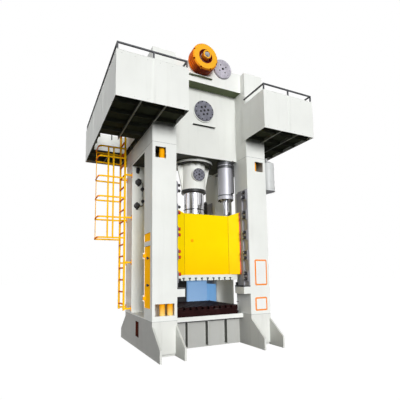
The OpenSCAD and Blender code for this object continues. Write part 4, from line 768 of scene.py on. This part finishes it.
MOTOR_END_Y, COWL_DEPTH = 0.3016, 0.070
BOX_HALF, BOX_Y, BOX_LOW, BOX_TOP, LID_OVER = 0.085, (0.470, 0.680), 0.178, 0.262, 0.007
CABLE_GLANDS_Y = (0.53, 0.62)
# rings of slots as radius and count
COWL_SLOTS, COWL_SLOT_Y = ((0.090, 14), (0.130, 20), (0.165, 26)), 0.2201
COWL_SLOT_REACH, COWL_SLOT_HALF = 0.012, 0.0045
MOTOR_FEET_X, MOTOR_FEET_Y, MOTOR_FEET_TOP = 0.22, (0.40, 0.76), 6.610


def dress_motor():
    x, z = MOTOR
    bm = bmesh.new()
    turned(bm, [(0.0, 0.0), (0.060, 0.0), (0.066, -0.010), (0.180, -0.010), (0.204, 0.016), (0.204, 0.090),
                (0.198, 0.094), (0.0, 0.094)], on_axis(MOTOR, MOTOR_END_Y - COWL_DEPTH), REAR, 40)
    block(bm, (x - BOX_HALF, x + BOX_HALF), BOX_Y, (z + BOX_LOW, z + BOX_TOP), 0.010)
    lid = BOX_HALF + LID_OVER
    block(bm, (x - lid, x + lid), (BOX_Y[0] - LID_OVER, BOX_Y[1] + LID_OVER),
          (z + BOX_TOP - 0.006, z + BOX_TOP + 0.014), 0.006)
    for y in CABLE_GLANDS_Y:
        turned(bm, plug(0.022, 0.016, 0.024, 0.030), (x + BOX_HALF - 0.001, y, z + 0.218), RIGHT, 12)
    finish_piece("motor_cowl", bm, "motor_paint")
    # Black plates stand for the cowl's slots: their black is painted shade for the openings.
    bm = bmesh.new()
    centre = Vector(on_axis(MOTOR, COWL_SLOT_Y))
    for ring, count in COWL_SLOTS:
        for out, across in spokes(count):
            half = across * COWL_SLOT_HALF
            near, far = centre + out * (ring - COWL_SLOT_REACH), centre + out * (ring + COWL_SLOT_REACH)
            prism(bm, [near - half, far - half, far + half, near + half], (0.0, 0.006, 0.0))
    finish_piece("cowl_slots", bm, black_oxide, "frame", "dark_steel")
    places = [((x + s * MOTOR_FEET_X, y, MOTOR_FEET_TOP), UP) for s in SIDES for y in MOTOR_FEET_Y]
    bolts("motor_base_bolts", places, (0.020, 0.018), (0.030, 0.004), "dark_steel")


# Frame: welds, joint lines, plates and small fittings

JOINT_PROUD = 0.0002


def dress_frame_seams():
    welds = []
    for sx in SIDES:
        for sy in SIDES:
            welds += [line_up(sx * x, sy * POST_FACE, FOOT_TOP + 0.002, FOOT_WELD_TOP) for x in FOOT_PLATES]
            welds.append(line_up(sx * POST_INNER, sy * WEB_FACE, CROWN_LOW + 0.002, BEAM_LOW - 0.002))
            welds.append(line_up(sx * POST_INNER, sy * BEAM_FACE, BEAM_LOW + 0.005, CROWN_TOP - 0.005))
            welds += [line_up(x + sx * RIB_HALF, sy * BED_WALL, FOOT_TOP + 0.005, TABLE_LOW - 0.002)
                      for x in BED_RIBS]
    for sy in SIDES:
        welds.append([(sx * (POST_INNER - 0.005), sy * WEB_FACE, BEAM_LOW) for sx in SIDES])
    beads("weld_seams", welds, 0.0075, "paint_white", 0.007, 0.22, 0.014)
    joints = []
    face = POST_FACE + JOINT_PROUD
    for sx in SIDES:
        corner, outer, inner = (sx * x for x in (POST_INNER + 0.002, POST_OUTER + JOINT_PROUD,
                                                 POST_INNER - JOINT_PROUD))
        for z in (CROWN_LOW, TABLE_TOP):
            joints.append([(corner, -face, z), (outer, -face, z), (outer, face, z), (corner, face, z)])
            joints += [[(inner, sy * (POST_FACE - 0.002), z), (inner, sy * (WEB_FACE + 0.003), z)]
                       for sy in SIDES]
    beads("frame_joints", joints, 0.0035, joint_grey, 0.2, slot="steel_grey")


def rounded(x0, x1, z0, z1, radius, steps=5):
    """The outline of a rectangle with round corners, as (x, z) points."""
    points = []
    corners = ((x1 - radius, z1 - radius), (x0 + radius, z1 - radius),
               (x0 + radius, z0 + radius), (x1 - radius, z0 + radius))
    for quarter, (x, z) in enumerate(corners):
        for k in range(steps + 1):
            a = PI2 * (quarter + k / steps) / 4
            points.append((x + radius * math.cos(a), z + radius * math.sin(a)))
    return points


def plate_layer(bm, outer, inset, radius, y, thickness):
    """A flat plate with round corners, set in from its outer rectangle and raised to the front."""
    x0, x1, z0, z1 = outer
    outline = rounded(x0 + inset, x1 - inset, z0 + inset, z1 - inset, radius)
    prism(bm, [(x, y, z) for x, z in outline], (0.0, -thickness, 0.0))


# plates as X from and to, Z from and to
TALL_PLATE, LOW_PLATE = (1.044, 1.388, 1.355, 1.954), (1.031, 1.364, 0.777, 1.083)
PLATE_FRAME, RIVET_INSET = 0.034, 0.018


def bare_plate(name, outer):
    """A blank plate in an orange frame on the right upright's front."""
    face = -POST_FACE
    bm = bmesh.new()
    plate_layer(bm, outer, 0.0, 0.030, face, 0.004)
    plate_layer(bm, outer, 0.006, 0.026, face - 0.004, 0.0015)
    finish_piece(name + "_frame", bm, plate_orange, "frame", "paint_orange")
    bm = bmesh.new()
    plate_layer(bm, outer, PLATE_FRAME, 0.012, face - 0.0053, 0.0032)
    finish_piece(name + "_face", bm, plate_white, "frame", "paint_white")
    x0, x1, z0, z1 = outer
    corners = [((x, face - 0.0055, z), FRONT)
               for x in (x0 + RIVET_INSET, x1 - RIVET_INSET) for z in (z0 + RIVET_INSET, z1 - RIVET_INSET)]
    bolts(name + "_rivets", corners, (0.006, 0.004), (0.008, 0.001), "alloy", corners=12)


JAMB_Y, JAMB_PIPE_Y, VALVE_RADIUS = 0.520, 0.496, 0.062
# valves as X, Z and size; the plate as X from and to, Z from and to; pipes as (X, Z)
JAMB_VALVES = ((-1.301, 3.953, 1.0), (-1.196, 3.783, 0.6), (-1.335, 3.349, 0.95), (-1.182, 3.475, 0.55))
JAMB_SLOT = (-1.358, -1.272, 4.180, 4.345)
JAMB_PIPES = (((-1.270, 3.953), (-1.196, 3.953), (-1.196, 3.800)),
              ((-1.196, 3.760), (-1.196, 3.620), (-1.182, 3.580), (-1.182, 3.490)),
              ((-1.182, 3.460), (-1.182, 3.349), (-1.300, 3.349)))


def dress_jamb():
    """Oil valves, a slotted plate and pipes on the left rear post's front jamb."""
    bm = bmesh.new()
    for x, z, size in JAMB_VALVES:
        r = VALVE_RADIUS * size
        turned(bm, [(0.0, 0.0), (1.25 * r, 0.0), (1.25 * r, 0.014), (0.7 * r, 0.022), (0.7 * r, 0.060 * size),
                    (r, 0.066 * size), (r, 0.118 * size), (0.85 * r, 0.130 * size), (0.4 * r, 0.134 * size),
                    (0.4 * r, 0.150 * size), (0.0, 0.152 * size)], (x, JAMB_Y, z), FRONT, 20)
        block(bm, (x - 0.4 * r, x + 0.4 * r), (JAMB_Y - 0.045 * size, JAMB_Y - 0.012),
              (z - 1.7 * r, z + 1.5 * r), 0.006)
    finish_piece("jamb_valves", bm, black_oxide, "frame", "black_plastic")
    bm = bmesh.new()
    plate_layer(bm, JAMB_SLOT, 0.0, 0.042, JAMB_Y, 0.010)
    plate_layer(bm, JAMB_SLOT, 0.012, 0.030, JAMB_Y - 0.010, 0.006)
    finish_piece("jamb_slot_plate", bm, black_oxide, "frame", "black_plastic")
    pipes = [[(x, JAMB_PIPE_Y, z) for x, z in run] for run in JAMB_PIPES]
    beads("jamb_pipes", pipes, 0.009, "dark_steel", 0.02, corner=0.030)


CONDUIT_X, CONDUIT_Y, CONDUIT_TOP = 0.890, -0.545, 1.352
CONDUIT_CLIPS_Z, CONDUIT_BOX_Z = (0.95, 1.15), (1.335, 1.425)


def dress_conduit():
    """A conduit on the right post's inner face, from a small box down to the table."""
    x, y = CONDUIT_X, CONDUIT_Y
    run = line_up(x, y, CONDUIT_TOP, TABLE_TOP + 0.004)
    beads("guard_conduit", [run], 0.012, joint_grey, 0.004, 0.06, 0.012, slot="steel_grey")
    bm = bmesh.new()
    turned(bm, [(0.0, 0.0), (0.030, 0.0), (0.030, 0.010), (0.020, 0.018), (0.020, 0.050), (0.014, 0.056),
                (0.0, 0.056)], (x, y, TABLE_TOP), UP, 12)
    for z in CONDUIT_CLIPS_Z:
        block(bm, (x - 0.018, POST_INNER), (y - 0.017, y + 0.017), (z, z + 0.022), 0.003)
    block(bm, (x - 0.028, POST_INNER + 0.0005), (y - 0.027, y + 0.027), CONDUIT_BOX_Z, 0.006)
    finish_piece("conduit_clips", bm, "dark_steel")


SLOT_HALF, SLOT_LOW, SLOT_HIGH, SLOT_BACK_RIM = 0.130, 0.250, 0.590, 0.045
SLOT_WALL_BACK, SLOT_WALL_FACE, SLOT_LINING, FLANK_THICK = 1.408, 1.4485, 0.003, 0.0012
LIFTING_PLUGS, TABLE_SCREWS_Y = (0.72, 0.6), 0.729
TABLE_SCREWS_X = (-0.84, -0.56, -0.28, 0.0, 0.28, 0.56, 0.84)


def dress_bed():
    """Linings of the side slots, dark sheets on the rib flanks as painted shade, dark strips under the
    table's front edge as painted shadow, and the table's screws.
    """
    bm = bmesh.new()
    across, tall = (-SLOT_HALF, SLOT_HALF), (SLOT_LOW, SLOT_HIGH)
    for s in SIDES:
        block(bm, mirrored(s, SLOT_WALL_BACK - 0.012, SLOT_WALL_BACK),
              (-SLOT_HALF - SLOT_BACK_RIM, SLOT_HALF + SLOT_BACK_RIM),
              (SLOT_LOW - SLOT_BACK_RIM, SLOT_HIGH + SLOT_BACK_RIM), 0.002)
        block(bm, mirrored(s, SLOT_WALL_BACK - 0.001, SLOT_WALL_BACK + 0.012), (-0.012, 0.012), tall, 0.004)
        reveal = mirrored(s, SLOT_WALL_BACK - 0.001, SLOT_WALL_FACE)
        for y in (-SLOT_HALF, SLOT_HALF - SLOT_LINING):
            block(bm, reveal, (y, y + SLOT_LINING), tall)
        for z in (SLOT_LOW, SLOT_HIGH - SLOT_LINING):
            block(bm, reveal, across, (z, z + SLOT_LINING))
    finish_piece("bed_slot_liners", bm, slot_brown, "frame", "bolster_iron")
    # Thin dark sheets on the ribs' flanks are painted shade.
    bm = bmesh.new()
    for x in BED_RIBS:
        for s in SIDES:
            for flank in (x - RIB_HALF - FLANK_THICK, x + RIB_HALF):
                block(bm, (flank, flank + FLANK_THICK), mirrored(s, BED_WALL, RIB_FRONT - 0.002),
                      (FOOT_TOP + 0.002, TABLE_LOW - 0.002))
    finish_piece("bed_rib_flank_shade", bm, flank_shade, "frame", "paint_white")
    # Dark strips under the table's front edge are its painted shadow.
    bm = bmesh.new()
    for s in SIDES:
        block(bm, (0.005 - POST_INNER, POST_INNER - 0.005),
              mirrored(s, TABLE_FRONT - 0.014, TABLE_FRONT - 0.004),
              (TABLE_LOW - 0.022, TABLE_LOW + 0.001), 0.002)
    finish_piece("table_edge_painted_shadow", bm, "black_plastic")
    x, y = LIFTING_PLUGS
    places = [((sx * x, sy * y, BOLSTER_TOP), UP) for sx in SIDES for sy in SIDES]
    bolts("bolster_lifting_plugs", places, (0.024, 0.012), (0.034, 0.004), black_oxide)
    places = [((x, s * TABLE_SCREWS_Y, TABLE_TOP), UP) for x in TABLE_SCREWS_X for s in SIDES]
    bolts("table_screws", places, (0.008, 0.006), (0.009, 0.002), "steel_grey")


# Slide, gibs and balance cylinders

WING_STRIP = ((0.8495, -0.8058, 3.103), (0.826, -0.7975, 3.094))
STRIP_LOW, GREASE_PLUG = 1.616, (-0.384, -0.708, 2.389)
FOLD_X, FOLD_Y, FOLD_LOW, FOLD_TOP = 0.573, -0.7085, 1.618, 3.006
# radius, Z and height
PLUNGER_RINGS = ((0.2835, 3.070, 0.030), (0.2535, 3.215, 0.026))
BELLOWS_FOOT, BELLOWS_FOLDS, BELLOWS_PITCH = (0.123, -0.420, 3.008), 9, 0.034
FITTING_X, FITTING_Y, FITTING_Z = (0.640, 0.700), (-0.640, -0.590), (3.007, 3.092)


def dress_slide():
    """Wing edge strips, a grease plug, fold lines, plunger rings and a bellows that travel with the slide."""
    bm = bmesh.new()
    (edge_x, edge_y, edge_top), (inner_x, inner_y, inner_top) = WING_STRIP
    for s in SIDES:
        outline = line_up(s * edge_x, edge_y, STRIP_LOW, edge_top)
        outline += line_up(s * inner_x, inner_y, inner_top, STRIP_LOW)
        prism(bm, outline, (0.0, -0.007, 0.0))
    finish_piece("wing_edge_strips", bm, red_paint, "slide", "paint_orange")
    bm = bmesh.new()
    turned(bm, [(0.0, 0.0), (0.036, 0.0), (0.036, 0.004), (0.030, 0.008), (0.016, 0.008), (0.014, 0.014),
                (0.0, 0.014)], GREASE_PLUG, FRONT, 24)
    finish_piece("slide_grease_plug", bm, safety_amber, "slide", "paint_orange")
    # Darker beads along the slide's bends are painted shade in the creases.
    folds = [line_up(s * FOLD_X, FOLD_Y, FOLD_LOW, FOLD_TOP) for s in SIDES]
    beads("slide_fold_lines", folds, 0.0045, fold_shade_amber, 0.3, body="slide", slot="paint_orange")
    bm = bmesh.new()
    for r, z, height in PLUNGER_RINGS:
        crowned_ring(bm, r, r + 0.0040, r + 0.0055, height, (0.0, 0.0, z), 64)
    finish_piece("plunger_rings", bm, "black_plastic", "slide")
    bm = bmesh.new()
    profile = [(0.0, 0.0), (0.062, 0.0), (0.062, 0.016)]
    for k in range(BELLOWS_FOLDS):
        z = 0.022 + BELLOWS_PITCH * k
        profile += [(0.034, z), (0.054, z + BELLOWS_PITCH / 2)]
    profile += [(0.034, 0.330), (0.040, 0.334), (0.040, 0.356), (0.014, 0.362), (0.014, 0.378), (0.0, 0.380)]
    turned(bm, profile, BELLOWS_FOOT, UP, 24)
    block(bm, FITTING_X, FITTING_Y, FITTING_Z, 0.008)
    top = (sum(FITTING_X) / 2, sum(FITTING_Y) / 2, FITTING_Z[1] - 0.002)
    turned(bm, plug(0.022, 0.014, 0.030, 0.036), top, UP, 12)
    finish_piece("slide_bellows", bm, "black_plastic", "slide")


GIB_BOLT_Y, GIB_BOLT_LOW, GIB_BOLT_ROWS, GIB_BOLT_PITCH, GIB_BOLT_PAIR = 0.995, 1.575, 5, 0.48, 0.062
GIB_END_SEAT, GIB_CAP_SEAT, GIB_CAPS_LOW, GIB_CAPS_HIGH = 0.7983, 0.8430, 1.6, 3.0


def dress_gibs():
    """Screw ends on the gibs' adjusting bolts, and red caps on those of the left front gib."""
    ends, caps = [], []
    levels = [GIB_BOLT_LOW + GIB_BOLT_PITCH * row + s * GIB_BOLT_PAIR
              for row in range(GIB_BOLT_ROWS) for s in SIDES]
    for sx in SIDES:
        for sy in SIDES:
            for z in levels:
                capped = sx < 0 and sy < 0 and GIB_CAPS_LOW < z < GIB_CAPS_HIGH
                x = sx * (GIB_CAP_SEAT if capped else GIB_END_SEAT)
                (caps if capped else ends).append(((x, sy * GIB_BOLT_Y, z), (-float(sx), 0.0, 0.0)))
    bolts("gib_bolt_ends", ends, (0.018, 0.012), (0.025, 0.003), "steel_grey", corners=12)
    bolts("left_gib_caps", caps, (0.020, 0.008), (0.036, 0.046), red_paint, slot="paint_orange", corners=12)


BALANCE, BALANCE_LOW = ((0.700, -0.415), (-0.700, 0.415)), 3.470
BALANCE_BOLT_CIRCLE, BALANCE_SEAT = 0.172, 0.187
# The two top rings are dark collars painted as the shade under the crown; the lowest is a plain ring.
# Z, radius and height
BALANCE_RINGS = ((4.354, 0.2022, 0.074), (4.262, 0.1975, 0.068), (3.560, 0.1935, 0.022))
AIR_PIPE = ((0.785, -0.655, 4.428), (0.785, -0.655, 3.600), (0.7635, -0.594, 3.600))


def dress_balance():
    """Flange bolts, rings whose two dark top collars are painted shade under the crown, and an air pipe on
    each balance cylinder.
    """
    places = [(p, DOWN) for x, y in BALANCE
              for p in ring_points((x, y, BALANCE_LOW), BALANCE_BOLT_CIRCLE, 10, "z")]
    bolts("balance_flange_bolts", places, (0.022, 0.026), (0.028, 0.004), black_oxide)
    bm = bmesh.new()
    for x, y in BALANCE:
        for z, r, height in BALANCE_RINGS:
            crowned_ring(bm, BALANCE_SEAT, r, r + 0.003, height, (x, y, z), 48)
    finish_piece("balance_rings_and_top_shade", bm, "dark_steel")
    pipes = [[(s * x, s * y, z) for x, y, z in AIR_PIPE] for s in SIDES]
    beads("balance_air_pipes", pipes, 0.018, black_oxide, 0.02, corner=0.025, slot="dark_steel")


# Galleries, ladder, tank and guard

# side, near and far edge along X
GALLERIES = ((-1, 0.965, 2.400), (1, 0.860, 2.295))
GALLERY_FRONT, GALLERY_REAR, GALLERY_LOW, GALLERY_TOP = -1.890, 2.060, 4.820, 5.710
HEM_INSET, RIVET_MARGIN, END_RIVETS, SIDE_RIVETS = 0.006, 0.10, 6, 16
STRAP_HALF, STRAP_THICK, STRAPS_Y = 0.035, 0.003, (-0.58, 0.74)
RIB_FLAT_HALF, RIB_ENDS, RIB_SPLITS = 0.016, (-1.876, 2.046), (-1.084, 1.084)
# X, and where the run along Y stops and starts again
RIB_FLATS = ((-1.922, (0.068, 1.202)), (-1.443, RIB_SPLITS), (1.338, RIB_SPLITS), (1.817, ()))


def evenly(start, end, count):
    return [start + k * (end - start) / (count - 1) for k in range(count)]


def dress_galleries():
    """Hems, rivets and butt straps on the panels, and flats on the floors' ribs."""
    hems, rivets, bm = [], [], bmesh.new()
    strap_z = (GALLERY_LOW + 0.004, GALLERY_TOP - 0.012)
    for s, near, far in GALLERIES:
        x0, x1 = s * (near + HEM_INSET), s * (far - HEM_INSET)
        y0, y1 = GALLERY_FRONT + HEM_INSET, GALLERY_REAR - HEM_INSET
        ends = POST_FACE + 0.005
        hem = ((x0, -ends), (x0, y0), (x1, y0), (x1, y1), (x0, y1), (x0, ends))
        hems.append([(x, y, GALLERY_TOP) for x, y in hem])
        for z in (GALLERY_LOW + 0.055, GALLERY_TOP - 0.050):
            for x in evenly(s * (near + RIVET_MARGIN), s * (far - RIVET_MARGIN), END_RIVETS):
                rivets += [((x, GALLERY_FRONT, z), FRONT), ((x, GALLERY_REAR, z), REAR)]
            for y in evenly(GALLERY_FRONT + RIVET_MARGIN, GALLERY_REAR - RIVET_MARGIN, SIDE_RIVETS):
                rivets.append(((s * far, y, z), (float(s), 0.0, 0.0)))
        for y in STRAPS_Y:
            block(bm, mirrored(s, far, far + STRAP_THICK), (y - STRAP_HALF, y + STRAP_HALF), strap_z, 0.001)
        middle = s * (near + far) / 2
        for y in ((GALLERY_FRONT - STRAP_THICK, GALLERY_FRONT), (GALLERY_REAR, GALLERY_REAR + STRAP_THICK)):
            block(bm, (middle - STRAP_HALF, middle + STRAP_HALF), y, strap_z, 0.001)
    finish_piece("panel_butt_straps", bm, "paint_white")
    bm = bmesh.new()
    for x, split in RIB_FLATS:
        stops = (RIB_ENDS[0], *split, RIB_ENDS[1])
        for run in zip(stops[::2], stops[1::2]):
            block(bm, (x - RIB_FLAT_HALF, x + RIB_FLAT_HALF), run,
                  (GALLERY_LOW - 0.0055, GALLERY_LOW + 0.0005), 0.001)
    finish_piece("floor_rib_flats", bm, rib_grey, "frame", "paint_white")
    beads("panel_hems", hems, 0.009, "paint_white", 0.12)
    bolts("panel_rivets", rivets, (0.0085, 0.005), (0.011, 0.0015), "paint_white", corners=10)


LADDER_X, STILES_Y, FEET_Z, FOOT_THICK = -1.630, (0.547, 1.049), (0.810, 1.918, 3.027, 4.109), 0.009
RUNG_COUNT, RUNG_LOW, RUNG_PITCH, RUNG_INSET = 17, 0.935, 0.29, 0.016
HOOPS = [2.535 + 0.5006 * k for k in range(5)] + [4.790]
CAGE_SIDE_Y, CAGE_DEPTH, CAGE_BACK, CAGE_STRAP_Y = 0.524, 0.640, -2.282, 0.949


def dress_ladder():
    """Feet with bolts, sleeves on the rungs and rivets on the cage's hoops."""
    bm, places = bmesh.new(), []
    foot_face = -POST_OUTER - FOOT_THICK
    for z in FEET_Z:
        for y in STILES_Y:
            block(bm, (foot_face, -POST_OUTER), (y - 0.035, y + 0.035), (z - 0.045, z + 0.085), 0.003)
            places += [((foot_face, y, z - 0.026), LEFT), ((foot_face, y, z + 0.066), LEFT)]
    finish_piece("ladder_feet", bm, ladder_orange, "frame", "paint_orange")
    bolts("ladder_foot_bolts", places, (0.011, 0.010), (0.016, 0.003), "steel_grey")
    rung_ends = (STILES_Y[0] + RUNG_INSET, STILES_Y[1] - RUNG_INSET)
    rungs = [[(LADDER_X, y, RUNG_LOW + RUNG_PITCH * k) for y in rung_ends] for k in range(RUNG_COUNT)]
    beads("rung_sleeves", rungs, 0.0205, rung_orange, 0.0075, 0.04, 0.03, slot="paint_orange")
    places = [((LADDER_X - part * CAGE_DEPTH, CAGE_SIDE_Y, z), FRONT) for part in (0.45, 0.65) for z in HOOPS]
    places += [((CAGE_BACK, CAGE_STRAP_Y, z), LEFT) for z in HOOPS]
    bolts("cage_rivets", places, (0.009, 0.006), (0.013, 0.002), ladder_orange, slot="paint_orange",
          corners=10)


TANK_X, TANK_Y, TANK_TOP, TANK_BANDS, DRAIN_Z = 1.685, -0.830, 4.466, (3.900, 4.250), 3.830
BAND_INNER, BAND_OUTER, BAND_HEIGHT = 0.1895, 0.196, 0.045


def dress_tank():
    """Bands with their lugs, a relief valve and a drain on the air tank."""
    x, y = TANK_X, TANK_Y
    bm = bmesh.new()
    for z in TANK_BANDS:
        turned(bm, [(BAND_INNER, 0.0), (BAND_OUTER, 0.0), (BAND_OUTER, BAND_HEIGHT),
                    (BAND_INNER, BAND_HEIGHT), (BAND_INNER, 0.0)], (x, y, z), UP, 48)
        block(bm, (x - 0.235, x - 0.185), (y - 0.020, y + 0.020), (z + 0.004, z + BAND_HEIGHT - 0.004), 0.003)
    turned(bm, [(0.0, 0.0), (0.040, 0.0), (0.040, 0.012), (0.020, 0.018), (0.020, 0.055), (0.028, 0.060),
                (0.028, 0.090), (0.012, 0.098), (0.0, 0.100)], (x, y, TANK_TOP), UP, 16)
    turned(bm, [(0.0, 0.0), (0.026, 0.0), (0.026, 0.010), (0.014, 0.014), (0.014, 0.040), (0.024, 0.046),
                (0.024, 0.062), (0.0, 0.066)], (x, y + 0.185, DRAIN_Z), REAR, 16)
    finish_piece("tank_fittings", bm, tank_paint, "frame", "alloy")


GUARD_FACE, GUARD_SCREWS_X, GUARD_SCREWS_Z = 1.110, evenly(-0.94, 0.94, 9), (0.810, 1.450)


def dress_guard():
    places = [((x, GUARD_FACE, z), REAR) for x in GUARD_SCREWS_X for z in GUARD_SCREWS_Z]
    bolts("guard_frame_screws", places, (0.010, 0.008), (0.014, 0.002), "steel_grey")


dress_covers()
dress_brake()
dress_drive()
dress_motor()
dress_frame_seams()
bare_plate("tall_plate", TALL_PLATE)
bare_plate("low_plate", LOW_PLATE)
for dress in (dress_jamb, dress_conduit, dress_bed, dress_slide, dress_gibs, dress_balance,
              dress_galleries, dress_ladder, dress_tank, dress_guard):
    dress()


# Light, floor and background

def add_sun(name, towards, strength, spread_deg):
    data = bpy.data.lights.new(name, "SUN")
    data.energy = strength
    data.angle = math.radians(spread_deg)
    sun = bpy.data.objects.new(name, data)
    sun.rotation_mode = "QUATERNION"
    sun.rotation_quaternion = Vector(towards).to_track_quat("-Z", "Y")
    scene.collection.objects.link(sun)


def seen_directly(tree):
    """1 where a camera, glossy or transmission ray looks, 0 for the light that falls on the object."""
    path = node(tree, "ShaderNodeLightPath").outputs
    total = path["Is Camera Ray"]
    for name in ("Is Glossy Ray", "Is Transmission Ray"):
        total = calc(tree, "MAXIMUM", total, path[name])
    return total


SKY, FLOOR_FALLEN, FLOOR_SEEN = (0.97, 0.985, 1.0), (0.08, 0.08, 0.08), (0.80, 0.80, 0.80)


def light_world(ambient):
    """White behind the object, and a faint sky light on it."""
    world = bpy.data.worlds.new("studio")
    world.use_nodes = True
    tree = world.node_tree
    sky = found(tree, "BACKGROUND")
    fill(tree, sky.inputs["Color"], SKY)
    fill(tree, sky.inputs["Strength"], ambient)
    shown = node(tree, "ShaderNodeBackground", {"Color": FULL})
    mix = node(tree, "ShaderNodeMixShader", {0: seen_directly(tree), 1: sky.outputs[0], 2: shown.outputs[0]})
    fill(tree, found(tree, "OUTPUT_WORLD").inputs["Surface"], mix.outputs[0])
    scene.world = world


def lay_floor(half_size, seen_white, white):
    """A pale floor: it shows near white and keeps the shadow, and returns only a little light upwards."""
    mesh = bpy.data.meshes.new("floor")
    corners = [(x * half_size, y * half_size, 0.0) for x, y in ((-1, -1), (1, -1), (1, 1), (-1, 1))]
    mesh.from_pydata(corners, [], [(0, 1, 2, 3)])
    floor = bpy.data.objects.new("floor", mesh)
    scene.collection.objects.link(floor)
    finish = Finish("pale_floor")
    tree, seen = finish.tree, seen_directly(finish.tree)
    tone = finish.mix(seen, FLOOR_FALLEN, FLOOR_SEEN)
    finish.set(Base_Color=tone, Roughness=0.9, Specular_IOR_Level=0.0)
    glow = node(tree, "ShaderNodeEmission", {"Strength": white})
    amount = calc(tree, "MULTIPLY", seen, seen_white)
    mix = node(tree, "ShaderNodeMixShader", {0: amount, 1: finish.shader.outputs[0], 2: glow.outputs[0]})
    fill(tree, found(tree, "OUTPUT_MATERIAL").inputs["Surface"], mix.outputs[0])
    mesh.materials.append(finish.material)


add_sun("key", (0.12, 1.0, -0.18), 2.80, 22.0)
add_sun("left_fill", (1.0, 0.35, -0.15), 1.08, 60.0)
add_sun("rear_fill", (-0.7, -1.0, -0.25), 1.30, 50.0)
light_world(0.17)
lay_floor(60.0, 0.85, 1.13)
